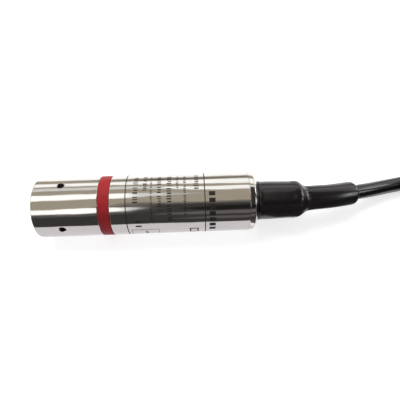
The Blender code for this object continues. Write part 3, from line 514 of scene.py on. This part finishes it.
def oxide_finish(name, first, second):
    """Dark grainy oxide that a laser leaves on steel."""
    made = Finish(name, first, 0.5)
    made.shader.inputs["Specular IOR Level"].default_value = 0.2
    grain = made.noise((6000.0, 6000.0, 6000.0), 2.0)
    made.vary_colour(made.spread(grain, 0.35, 0.65, 0.0, 1.0), first, second)
    made.vary_roughness(grain, 0.45, 0.6)
    return made.material


def finish_table():
    """Every material by the record's slot name."""
    return {
        "steel": turned_steel("polished steel", (0.65, 0.635, 0.61), 0.088),
        "foil": turned_steel("bright foil", (0.72, 0.71, 0.69), 0.2),
        "red_plastic": moulded("matt red plastic", (0.33, 0.012, 0.016), 0.5, 1800.0, shine=0.2),
        "shrink_tube": shrink_finish("black shrink tube", (0.0085, 0.0068, 0.0085)),
        "cable_jacket": drawn_wire("black cable sheath", (0.0075, 0.0065, 0.0075), 0.17),
        "seal_rubber": moulded("seal rubber", (0.018, 0.018, 0.018), 0.6),
        "gilded_pin": turned_steel("gilded pin", (0.83, 0.62, 0.27), 0.22),
        "liner": moulded("cream liner", (0.80, 0.78, 0.71), 0.5, 900.0),
        "laminate": board_finish("green laminate", (0.02, 0.15, 0.065)),
        "moulding": moulded("chip moulding", (0.02, 0.02, 0.022), 0.5, 5000.0),
        "ceramic": moulded("glazed ceramic", (0.70, 0.58, 0.40), 0.3, 3000.0),
        "blue_plastic": moulded("blue plastic", (0.03, 0.12, 0.42), 0.4),
        "green_plastic": moulded("green plastic", (0.03, 0.28, 0.11), 0.42),
        "red_insulation": drawn_wire("red insulation", (0.55, 0.03, 0.02), 0.4),
        "black_insulation": drawn_wire("black insulation", (0.02, 0.02, 0.02), 0.4),
        "white_insulation": drawn_wire("white insulation", (0.75, 0.74, 0.70), 0.42),
        "braid": braided("tinned braid", (0.66, 0.65, 0.62)),
        "vent_tube": drawn_wire("vent tube", (0.78, 0.79, 0.76), 0.3),
        "nylon": moulded("black nylon", (0.022, 0.022, 0.024), 0.42, 1500.0),
    }


finishes = finish_table()


def new_piece(name, data, body, slot_name, replaced=()):
    """Object of the scene that rides on a body and takes its finish from a slot."""
    made = bpy.data.objects.new(name, data)
    bpy.context.scene.collection.objects.link(made)
    if slot_name is not None:
        data.materials.append(finishes[slot_name])
    if replaced:
        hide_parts(*replaced)
    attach(made, body)
    return made


def mesh_of(name, vertices, faces, sharp=SHARP_ANGLE):
    """Smooth mesh with sharp edges kept."""
    mesh = bpy.data.meshes.new(name)
    mesh.from_pydata(vertices, [], faces)
    work = bmesh.new()
    work.from_mesh(mesh)
    bmesh.ops.recalc_face_normals(work, faces=work.faces)
    work.to_mesh(mesh)
    work.free()
    for face in mesh.polygons:
        face.use_smooth = True
    mesh.set_sharp_from_angle(angle=math.radians(sharp))
    return mesh


def rounded(corners, closed=True):
    """Outline with rounded corners, and with a point close to each end of a long side.

    Every corner is (station, radius, rounding).
    """
    outline = []
    count = len(corners)
    for index, (along, out, size) in enumerate(corners):
        here = Vector((along, out))
        ends = not closed and index in (0, count - 1)
        if ends or size <= 0.0:
            outline.append(here)
            continue
        before = Vector(corners[index - 1][:2]) - here
        after = Vector(corners[(index + 1) % count][:2]) - here
        half = before.angle(after) / 2
        room = CORNER_SHARE * min(before.length, after.length)
        reach = min(size / math.tan(half), room)
        radius = reach * math.tan(half)
        before.normalize()
        after.normalize()
        middle = here + (before + after).normalized() * (radius / math.sin(half))
        start = here + before * reach - middle
        turn = start.angle_signed(here + after * reach - middle)
        outline.append(here + before * (reach + SUPPORT))
        for step in range(ARC_STEPS + 1):
            angle = -turn * step / ARC_STEPS
            x = start.x * math.cos(angle) - start.y * math.sin(angle)
            y = start.x * math.sin(angle) + start.y * math.cos(angle)
            outline.append(middle + Vector((x, y)))
        outline.append(here + after * (reach + SUPPORT))
    return outline


def lathe(name, outline, closed=True, steps=TURN_STEPS):
    """Mesh of an outline turned round the probe's axis."""
    vertices = []
    rings = []
    for along, out in outline:
        first = len(vertices)
        if out < ON_AXIS:
            vertices.append(around(along, 0.0, 0.0))
            rings.append([first] * steps)
            continue
        for step in range(steps):
            vertices.append(around(along, out, 360.0 * step / steps))
        rings.append([first + step for step in range(steps)])
    pairs = list(zip(rings, rings[1:]))
    if closed:
        pairs.append((rings[-1], rings[0]))
    faces = []
    for one, two in pairs:
        for step in range(steps):
            ahead = (step + 1) % steps
            corners = []
            for corner in (one[step], one[ahead], two[ahead], two[step]):
                if corner not in corners:
                    corners.append(corner)
            if len(corners) > 2:
                faces.append(corners)
    return mesh_of(name, vertices, faces)


def freeze(thing):
    """Apply an object's modifiers and remove its cutters."""
    bpy.context.view_layer.update()
    cutters = [change.object for change in thing.modifiers]
    graph = bpy.context.evaluated_depsgraph_get()
    mesh = bpy.data.meshes.new_from_object(thing.evaluated_get(graph))
    thing.modifiers.clear()
    thing.data = mesh
    for cutter in cutters:
        bpy.data.objects.remove(cutter, do_unlink=True)
    for face in mesh.polygons:
        face.use_smooth = True
    mesh.set_sharp_from_angle(angle=math.radians(SHARP_DRILLED))


def make_camera():
    """Camera at the photograph's place."""
    data = bpy.data.cameras.new("camera")
    data.lens = CAMERA_LENS
    data.clip_start = CLIP_START
    made = bpy.data.objects.new("camera", data)
    made.location = CAMERA_PLACE
    made.rotation_euler = [math.radians(turn) for turn in CAMERA_TURN]
    bpy.context.scene.collection.objects.link(made)
    bpy.context.scene.camera = made


def hank_point(lap_share, ring_radius, up):
    """Point of a lap: along one side, round the far fold, back, and round the near fold."""
    half_share = lap_share % 0.5
    sign = 1.0 if lap_share < 0.5 else -1.0
    if half_share < SIDE_SHARE:
        x = HANK_HALF * (2 * half_share / SIDE_SHARE - 1)
        y = ring_radius
    else:
        turn = math.pi * (half_share - SIDE_SHARE) / (0.5 - SIDE_SHARE)
        x = HANK_HALF + ring_radius * math.sin(turn)
        y = ring_radius * math.cos(turn)
    return Vector((HANK_MIDDLE[0] + sign * x, HANK_MIDDLE[1] + sign * y, up))


def layer_height(layer):
    """Height of the middle of a layer of the hank."""
    return HANK_BOTTOM + CABLE_RADIUS + CABLE_DIAMETER * layer


def cable_points():
    """Whole free cable, from the boot through the hank to its stripped end."""
    points = []
    last = ROUTE_START + CABLE_ROUTE[-1][0] * CABLE_DIAMETER
    for step in range(ROUTE_STEPS + 1):
        points.append(route_point(BOOT_END + (last - BOOT_END) * step / ROUTE_STEPS))
    entry = points[-1]
    start_x = HANK_MIDDLE[0] - HANK_HALF
    for step in range(1, ENTRY_STEPS):
        share = step / ENTRY_STEPS
        rise = (layer_height(0) - CABLE_RADIUS) * smooth_step(share)
        x = entry.x + (start_x - entry.x) * share
        points.append(Vector((x, entry.y, CABLE_RADIUS + rise)))
    last_lap = len(HANK_CELLS) - 1
    for lap in range(last_lap + 1):
        ring, layer = HANK_CELLS[lap]
        next_ring, next_layer = HANK_CELLS[min(lap + 1, last_lap)]
        shift_start = SHIFT_START - SHIFT_LAG * lap
        steps = LAP_STEPS if lap < last_lap else LAP_STEPS // 2
        for step in range(steps):
            share = step / LAP_STEPS
            moved = smooth_step((share - shift_start) / SHIFT_SHARE)
            radius = HANK_RADII[ring] + (HANK_RADII[next_ring] - HANK_RADII[ring]) * moved
            up = layer_height(layer) + (layer_height(next_layer) - layer_height(layer)) * moved
            points.append(hank_point(share, radius, up))
    return points + tail_points()


def tail_points():
    """End of the cable, from the hank's last fold down into its eye."""
    top = layer_height(HANK_CELLS[-1][1])
    middle = Vector((HANK_MIDDLE[0], HANK_MIDDLE[1], 0.0))
    points = []
    for along, across, drop in LEAVING:
        points.append(middle + Vector((along, -across, top - drop)))
    first = TAIL_ROUTE[0][0]
    end = TAIL_ROUTE[-1][0]
    for step in range(TAIL_STEPS + 1):
        along = first + (end - first) * step / TAIL_STEPS
        across = CABLE_DIAMETER * curve_value(TAIL_ROUTE, 1, along)
        left = max(curve_value(TAIL_ROUTE, 2, along), 0.0)
        up = CABLE_RADIUS + TAIL_DROP * left
        points.append(middle + Vector((-CABLE_DIAMETER * along, -across, up)))
    return points


def make_cable():
    """Free cable as one curve."""
    data = bpy.data.curves.new("cable", "CURVE")
    data.dimensions = "3D"
    data.bevel_depth = CABLE_RADIUS
    data.bevel_resolution = CABLE_ROUNDNESS
    data.use_fill_caps = True
    points = cable_points()
    line = data.splines.new("POLY")
    line.points.add(len(points) - 1)
    for held, point in zip(line.points, points):
        held.co = (*point, 1.0)
    line.use_smooth = True
    nodes = ("cable_run", "cable_hank", "cable_tail")
    cable = new_piece("cable", data, "probe", "cable_jacket", nodes)


make_camera()
make_cable()


def emission(name, colour, level):
    """Evenly glowing surface for a studio panel."""
    made = bpy.data.materials.new(name)
    made.use_nodes = True
    tree = made.node_tree
    tree.nodes.clear()
    glow = tree.nodes.new("ShaderNodeEmission")
    glow.inputs["Color"].default_value = (*colour, 1.0)
    glow.inputs["Strength"].default_value = level
    out = tree.nodes.new("ShaderNodeOutputMaterial")
    tree.links.new(glow.outputs["Emission"], out.inputs["Surface"])
    return made


def reflector(name, vertices, faces, colour, level):
    """Studio panel that only shows in reflections."""
    mesh = bpy.data.meshes.new(name)
    mesh.from_pydata(vertices, [], faces)
    mesh.materials.append(emission(name, colour, level))
    made = bpy.data.objects.new(name, mesh)
    bpy.context.scene.collection.objects.link(made)
    made.visible_camera = False
    made.visible_diffuse = False
    made.visible_transmission = False
    made.visible_shadow = False


def panel(name, rank, colour, level, stations):
    """Curved panel over the probe."""
    radius = RIG_RADIUS - RIG_STEP * rank
    vertices = []
    faces = []
    for x, start, end in stations:
        for step in range(PANEL_STEPS + 1):
            turn = math.radians(start + (end - start) * step / PANEL_STEPS)
            vertices.append((x, radius * math.cos(turn), BODY_RADIUS + radius * math.sin(turn)))
    row = PANEL_STEPS + 1
    for index in range(len(stations) - 1):
        for step in range(PANEL_STEPS):
            corner = index * row + step
            faces.append((corner, corner + 1, corner + row + 1, corner + row))
    reflector(name, vertices, faces, colour, level)


def floor_card(name, colour, level, height, stations):
    """Flat panel just over the floor in front of the probe: place along X, far and near edge."""
    vertices = []
    faces = []
    for x, far, near in stations:
        vertices += [(x, far, height), (x, near, height)]
    for index in range(len(stations) - 1):
        corner = 2 * index
        faces.append((corner, corner + 1, corner + 3, corner + 2))
    reflector(name, vertices, faces, colour, level)


# Colours of the studio panels
KHAKI = (1.0, 0.89, 0.72)
WHITE = (1.0, 0.995, 0.98)
DARK = (1.0, 0.93, 0.92)
LILAC = (1.0, 0.96, 1.0)

# Panels over the probe: name, rank inwards, colour, level, and the place along X with the
# first and last angle at each of its ends and bends
PANELS = (
    ("surround", 0, KHAKI, 0.50, ((-0.9, 3, 183), (0.9, 3, 183))),
    ("far_line", 1, DARK, 0.16, ((-0.21, 12, 13), (-0.06, 9, 17), (0.06, 10, 17), (0.2, 12, 14))),
    (
        "far_window", 1, WHITE, 1.5,
        ((-0.9, 21, 37), (-0.16, 21, 38), (0, 24, 42), (0.104, 22, 47), (0.9, 22, 50)),
    ),
    ("high_window", 1, WHITE, 0.95, ((-0.9, 46, 57), (-0.16, 46, 57), (-0.06, 53, 63))),
    (
        "high_window_end", 1, WHITE, 1.5,
        ((-0.06, 53, 63), (0.04, 59, 72), (0.104, 57, 72), (0.9, 57, 73)),
    ),
    ("top_window", 1, WHITE, 1.7, ((-0.9, 75, 95), (-0.15, 75, 95), (-0.13, 76, 93))),
    ("top_window_middle", 1, WHITE, 0.95, ((-0.13, 76, 93), (-0.06, 78, 90))),
    ("top_window_end", 1, WHITE, 0.65, ((-0.06, 78, 90), (0.02, 84, 85))),
    ("front_slit", 1, WHITE, 1.7, ((-0.9, 129, 148), (-0.22, 129, 147), (-0.15, 130, 143))),
    ("front_slit_end", 1, WHITE, 1.0, ((-0.15, 130, 143), (-0.1, 134, 140), (-0.07, 137, 138))),
    (
        "shade_1", 2, KHAKI, 0.30,
        ((-0.22, 128, 129), (-0.13, 110, 129), (-0.08, 115, 129), (0.9, 117, 129)),
    ),
    (
        "shade_2", 3, DARK, 0.17,
        ((-0.19, 128, 129), (-0.13, 119, 129), (-0.08, 118, 140), (0.9, 120, 150)),
    ),
    (
        "shade_3", 4, DARK, 0.06,
        ((-0.13, 143, 183), (-0.08, 122, 183), (0.05, 125, 183), (0.9, 124, 183)),
    ),
    (
        "shade_left_1", 2, DARK, 0.24,
        ((-0.9, 148, 183), (-0.22, 147, 183), (-0.13, 143, 183), (-0.06, 140, 183)),
    ),
    (
        "shade_left_2", 3, DARK, 0.12,
        ((-0.9, 152, 183), (-0.22, 151, 183), (-0.13, 146, 183), (-0.06, 140, 183)),
    ),
    (
        "shade_left_3", 4, DARK, 0.055,
        ((-0.9, 159, 183), (-0.22, 158, 183), (-0.13, 152, 183), (-0.13, 152, 183)),
    ),
    ("front_dark", 5, DARK, 0.018, ((-0.03, 140, 141), (0.05, 134, 151), (0.9, 133, 151))),
    ("front_grey_1", 5, DARK, 0.17, ((-0.08, 158, 160), (-0.01, 154, 166), (0.9, 152, 168))),
    ("front_grey_2", 5, DARK, 0.15, ((-0.04, 179, 181), (0.04, 176, 183), (0.9, 176, 183))),
    ("end_dark", 6, DARK, 0.045, ((0.2, 64, 130), (0.9, 64, 130))),
)

# Upright panels past the cable: name, colour, level, place along X, and both corners
END_WALLS = (
    ("end_wall", DARK, 0.28, 0.93, (-0.62, 0.0), (0.62, 0.64)),
    ("end_lamp_front", WHITE, 6.0, 0.90, (-0.46, 0.30), (-0.12, 0.62)),
    ("end_lamp_back", WHITE, 6.0, 0.90, (0.16, 0.26), (0.46, 0.54)),
)

# Panels on the floor: name, colour, level, height, and places along X with both edges
FLOOR_CARDS = (
    (
        "floor_card", DARK, 0.055, 0.002,
        ((-0.9, -0.6, -0.062), (-0.06, -0.6, -0.057), (0.025, -0.6, -0.049), (0.9, -0.6, -0.049)),
    ),
    ("floor_card_far", DARK, 0.14, 0.003, ((-0.03, -0.6, -0.4), (0.03, -0.6, -0.16), (0.9, -0.6, -0.15))),
    ("floor_card_near", LILAC, 0.88, 0.0004, ((-0.12, -0.065, -0.004), (0.026, -0.055, -0.004))),
    (
        "floor_card_cable", DARK, 0.10, 0.0006,
        ((0.029, -0.3, -0.03), (0.036, -0.3, -0.013), (0.06, -0.3, -0.006), (0.135, -0.3, 0.004)),
    ),
)


def background_rays(tree):
    """1 for the rays that show the background itself, and 0 for those that only light."""
    rays = tree.nodes.new("ShaderNodeLightPath")
    seen = rays.outputs["Is Camera Ray"]
    for kind in ("Is Glossy Ray", "Is Transmission Ray"):
        either = tree.nodes.new("ShaderNodeMath")
        either.operation = "MAXIMUM"
        tree.links.new(seen, either.inputs[0])
        tree.links.new(rays.outputs[kind], either.inputs[1])
        seen = either.outputs[0]
    return seen


def make_studio():
    """White floor and world, a soft lamp, and the panels that the steel shows."""
    mesh = bpy.data.meshes.new("floor")
    half = FLOOR_HALF
    corners = [(-half, -half, 0.0), (half, -half, 0.0), (half, half, 0.0), (-half, half, 0.0)]
    mesh.from_pydata(corners, [], [(0, 1, 2, 3)])
    paint = Finish("pale floor", (FLOOR_WHITE,) * 3, FLOOR_ROUGHNESS)
    paint.shader.inputs["Emission Color"].default_value = (1.0, 1.0, 1.0, 1.0)
    glow = paint.spread(background_rays(paint.tree), 0.0, 1.0, 0.0, FLOOR_GLOW)
    paint.join(glow, paint.shader.inputs["Emission Strength"])
    mesh.materials.append(paint.material)
    floor = bpy.data.objects.new("floor", mesh)
    bpy.context.scene.collection.objects.link(floor)
    make_world()
    data = bpy.data.lights.new("soft_lamp", "AREA")
    data.energy = LAMP_POWER
    data.size = LAMP_SIZE
    lamp = bpy.data.objects.new("soft_lamp", data)
    lamp.location = LAMP_PLACE
    lamp.rotation_euler = (-Vector(LAMP_PLACE)).to_track_quat("-Z", "Y").to_euler()
    lamp.visible_glossy = False
    lamp.visible_camera = False
    bpy.context.scene.collection.objects.link(lamp)
    for settings in PANELS:
        panel(*settings)
    for settings in FLOOR_CARDS:
        floor_card(*settings)
    for name, colour, level, x, (near, low), (far, high) in END_WALLS:
        corners = [(x, near, low), (x, far, low), (x, far, high), (x, near, high)]
        reflector(name, corners, [(0, 1, 2, 3)], colour, level)


def make_world():
    """White surroundings, a little dimmer as light than as background."""
    world = bpy.data.worlds.new("white room")
    world.use_nodes = True
    bpy.context.scene.world = world
    tree = world.node_tree
    sky = tree.nodes["Background"]
    sky.inputs["Color"].default_value = (1.0, 1.0, 1.0, 1.0)
    level = tree.nodes.new("ShaderNodeMapRange")
    level.inputs["To Min"].default_value = WORLD_LEVEL
    level.inputs["To Max"].default_value = 1.0
    tree.links.new(background_rays(tree), level.inputs["Value"])
    tree.links.new(level.outputs["Result"], sky.inputs["Strength"])


make_studio()
bpy.context.scene.view_settings.view_transform = "Standard"


def make_nose_cap():
    """Polished cap with its pressure ports."""
    outline = rounded(
        [
            (0.0, 0.0, 0.0),
            (0.0, BODY_RADIUS, NOSE_EDGE),
            (RING_FRONT - SEAM, BODY_RADIUS, EDGE),
            (RING_FRONT - SEAM, CAP_SPIGOT_RADIUS, 0.0),
            (CAP_SPIGOT_END, CAP_SPIGOT_RADIUS, EDGE),
            (CAP_SPIGOT_END, CAP_BORE, EDGE),
            (CHAMBER_END, CAP_BORE, 0.0),
            (CHAMBER_END, CHAMBER_RADIUS, 0.0),
            (CAP_WALL, CHAMBER_RADIUS, CHAMBER_FILLET),
            (CAP_WALL, 0.0, 0.0),
        ],
        closed=False,
    )
    mesh = lathe("nose_cap_skin", outline, closed=False)
    cap = new_piece("nose_cap_skin", mesh, "nose_cap", "steel", ("nose_cap",))
    for pair in range(PORT_PAIRS):
        angle = 180.0 - PORT_TURN + 180.0 * pair / PORT_PAIRS
        drill = port_drill(f"port_drill_{pair + 1}", angle)
        change = cap.modifiers.new(f"port_{pair + 1}", "BOOLEAN")
        change.operation = "DIFFERENCE"
        change.solver = "EXACT"
        change.object = drill
    freeze(cap)


def port_drill(name, angle):
    """Drill right through the cap, with a small sink at both ends."""
    turn = math.radians(angle)
    direction = Vector((0.0, math.cos(turn), math.sin(turn)))
    side = direction.cross(Vector((1.0, 0.0, 0.0)))
    middle = Vector((NOSE_X + PORT_STATION, 0.0, BODY_RADIUS))
    sink_start = BODY_RADIUS - PORT_SINK
    profile = [
        (-BODY_RADIUS - DRILL_OVERRUN, PORT_RADIUS + PORT_SINK + DRILL_OVERRUN),
        (-sink_start, PORT_RADIUS),
        (sink_start, PORT_RADIUS),
        (BODY_RADIUS + DRILL_OVERRUN, PORT_RADIUS + PORT_SINK + DRILL_OVERRUN),
    ]
    vertices = []
    faces = []
    for along, radius in profile:
        for step in range(PORT_STEPS):
            turn = 2 * math.pi * step / PORT_STEPS
            offset = Vector((1.0, 0.0, 0.0)) * math.cos(turn) + side * math.sin(turn)
            vertices.append(middle + direction * along + offset * radius)
    for ring in range(len(profile) - 1):
        low = ring * PORT_STEPS
        high = low + PORT_STEPS
        for step in range(PORT_STEPS):
            ahead = (step + 1) % PORT_STEPS
            faces.append((low + step, low + ahead, high + ahead, high + step))
    faces.append(list(range(PORT_STEPS)))
    last = (len(profile) - 1) * PORT_STEPS
    faces.append([last + step for step in range(PORT_STEPS)])
    cutter = bpy.data.objects.new(name, mesh_of(name, vertices, faces))
    bpy.context.scene.collection.objects.link(cutter)
    cutter.hide_render = True
    return cutter


def make_turned_pieces():
    """Marker ring, housing tube and rear plug."""
    ring = rounded(
        [
            (RING_FRONT, BODY_RADIUS, EDGE),
            (RING_END + SEAM, BODY_RADIUS, EDGE),
            (RING_END + SEAM, TUBE_BORE, EDGE),
            (COUNTERBORE_END, TUBE_BORE, 0.0),
            (COUNTERBORE_END, RING_BORE, 0.0),
            (RING_FRONT, RING_BORE, 0.0),
        ]
    )
    mesh = lathe("marker_ring_skin", ring)
    new_piece("marker_ring_skin", mesh, "marker_ring", "red_plastic", ("marker_ring",))
    tube = rounded(
        [
            (TUBE_FRONT - SEAM, BODY_RADIUS, EDGE),
            (PLUG_RIM - PLUG_SEAM, BODY_RADIUS, CRISP_EDGE),
            (PLUG_RIM - PLUG_SEAM, TUBE_BORE, 0.0),
            (TUBE_FRONT - SEAM, TUBE_BORE, EDGE),
        ]
    )
    mesh = lathe("housing_tube_skin", tube)
    new_piece("housing_tube_skin", mesh, "probe", "steel", ("housing_tube",))
    plug = rounded(
        [
            (PLUG_FRONT, CABLE_BORE, 0.0),
            (PLUG_FRONT, SPIGOT_RADIUS, EDGE),
            (PLUG_RIM, SPIGOT_RADIUS, 0.0),
            (PLUG_RIM, BODY_RADIUS, CRISP_EDGE),
            (PLUG_RIM_END, BODY_RADIUS - PLUG_TAPER, RIM_EDGE),
            (PLUG_SHOULDER, SHOULDER_RADIUS, SHOULDER_EDGE),
            (PLUG_SHOULDER, STUB_RADIUS, 0.0),
            (STUB_END, STUB_RADIUS, EDGE),
            (STUB_END, GLAND_RADIUS, EDGE),
            (GLAND_FLOOR, GLAND_RADIUS, 0.0),
            (GLAND_FLOOR, CABLE_BORE, 0.0),
        ]
    )
    mesh = lathe("rear_plug_skin", plug)
    new_piece("rear_plug_skin", mesh, "probe", "steel", ("rear_plug",))


def neck_push(station, angle):
    """How far the neck's gathered folds push the boot's skin out."""
    share = (station - NECK_MIDDLE) / NECK_REACH
    bell = math.exp(-share * share)
    wave = math.cos(math.radians(NECK_PLEATS * (angle - NECK_PLEAT_START)))
    ridge = wave * abs(wave) ** NECK_RIDGE_POWER
    pinch = math.cos(math.pi * clear(share, -1.0, 1.0)) * (0.5 + 0.5 * wave)
    uneven = NECK_EVEN
    for size, waves, turn in NECK_UNEVEN:
        uneven += size * math.sin(math.radians(waves * angle + turn))
    shape = NECK_PLEAT_SHARE * ridge - NECK_PINCH_SHARE * pinch
    push = NECK_PLEAT_DEPTH * uneven * bell * shape
    radius = curve_value(BOOT_SKIN, 1, station)
    for knot_station, knot_angle, height, reach in NECK_KNOTS:
        apart = (angle - knot_angle + 180.0) % 360.0 - 180.0
        away = math.hypot(station - knot_station, radius * math.radians(apart)) / reach
        push += height * math.exp(-0.5 * away * away)
    return push


def boot_point(station, radius, angle):
    """Point of the boot, bent with the cable."""
    turn = math.radians(angle)
    forward = route_direction(station)
    sideways = Vector((0.0, 1.0, 0.0))
    sideways = (sideways - forward * sideways.dot(forward)).normalized()
    upward = forward.cross(sideways)
    offset = sideways * (radius * math.cos(turn)) + upward * (radius * math.sin(turn))
    return route_point(station) + offset


def make_boot():
    """Shrink boot with its gathered neck."""
    front = BOOT_SKIN[0][0]
    count = round((BOOT_END - front) / BOOT_STEP)
    stations = [front + (BOOT_END - front) * step / count for step in range(count + 1)]
    stations += [row[0] for row in BOOT_SKIN]
    outline = []
    for station in sorted(set(round(value, 6) for value in stations)):
        outline.append((station, curve_value(BOOT_SKIN, 1, station), True))
    for station, radius in BOOT_BORE:
        outline.append((station, radius, False))
    vertices = []
    for station, radius, skin in outline:
        for step in range(BOOT_TURNS):
            angle = 360.0 * step / BOOT_TURNS
            push = neck_push(station, angle) if skin else 0.0
            vertices.append(boot_point(station, radius + push, angle))
    faces = []
    rings = len(outline)
    for ring in range(rings):
        for step in range(BOOT_TURNS):
            ahead = (step + 1) % BOOT_TURNS
            one = ring * BOOT_TURNS
            two = (ring + 1) % rings * BOOT_TURNS
            faces.append((one + step, one + ahead, two + ahead, two + step))
    mesh = mesh_of("shrink_boot_skin", vertices, faces, SHARP_BOOT)
    new_piece("shrink_boot_skin", mesh, "probe", "shrink_tube", ("shrink_boot",))


def mark_patch(vertices, faces, station, width, start, end):
    """Add a bar that follows the tube's surface."""
    pieces = max(1, math.ceil((end - start) / MARK_STEP))
    first = len(vertices)
    low = BODY_RADIUS - MARK_HEIGHT
    high = BODY_RADIUS + MARK_HEIGHT
    for step in range(pieces + 1):
        angle = start + (end - start) * step / pieces
        for along, radius in ((0.0, low), (width, low), (width, high), (0.0, high)):
            vertices.append(around(station + along, radius, angle))
    for step in range(pieces):
        a = first + 4 * step
        for side in range(4):
            other = (side + 1) % 4
            faces.append((a + side, a + other, a + 4 + other, a + 4 + side))
    faces.append((first, first + 1, first + 2, first + 3))
    last = first + 4 * pieces
    faces.append((last + 3, last + 2, last + 1, last))


def bar_column(vertices, faces, dice, station, width, start, end, bar, gap):
    """Add a row of short bars round the tube, with wider gaps between groups."""
    angle = start
    while angle < end:
        for _ in range(dice.randint(*BAR_GROUP)):
            length = bar * dice.uniform(*BAR_SPREAD)
            if angle + length > end:
                return
            inset = width * dice.choice(BAR_INSETS)
            mark_patch(vertices, faces, station + inset, width - inset, angle, angle + length)
            angle += length + gap
        angle += bar * GROUP_GAP


def make_marking():
    """Laser marking: two rings round the tube, and rows of plain bars."""
    vertices = []
    faces = []
    dice = random.Random(MARK_SEED)
    low_end = 90.0 - FRAME_LINE_REACH
    high_end = 90.0 + FRAME_LINE_REACH
    for station in FRAME_LINES:
        first = station - FRAME_LINE_WIDTH / 2
        mark_patch(vertices, faces, first, FRAME_LINE_WIDTH, low_end, high_end)
    for row in BAR_ROWS:
        bar_column(vertices, faces, dice, *row)
    for index in range(BLOCK_COUNT):
        start = BLOCK_START + BLOCK_PITCH * index
        mark_patch(vertices, faces, BLOCK_STATION, BLOCK_WIDTH, start, start + BLOCK_REACH)
    for row in MARK_FRAMES:
        mark_patch(vertices, faces, *row)
    mesh = bpy.data.meshes.new("laser_marking")
    mesh.from_pydata(vertices, [], faces)
    mesh.materials.append(oxide_finish("laser oxide", (0.012, 0.010, 0.009), (0.030, 0.026, 0.023)))
    new_piece("laser_marking", mesh, "probe", None)


def dress_solids():
    """Give every solid the material of its slot."""
    for part in frame["record"]["subparts"]:
        node = frame["nodes"][part["node"]]
        node.data.materials.clear()
        node.data.materials.append(finishes[part["material_slot"]])


make_nose_cap()
make_turned_pieces()
make_boot()
make_marking()
dress_solids()
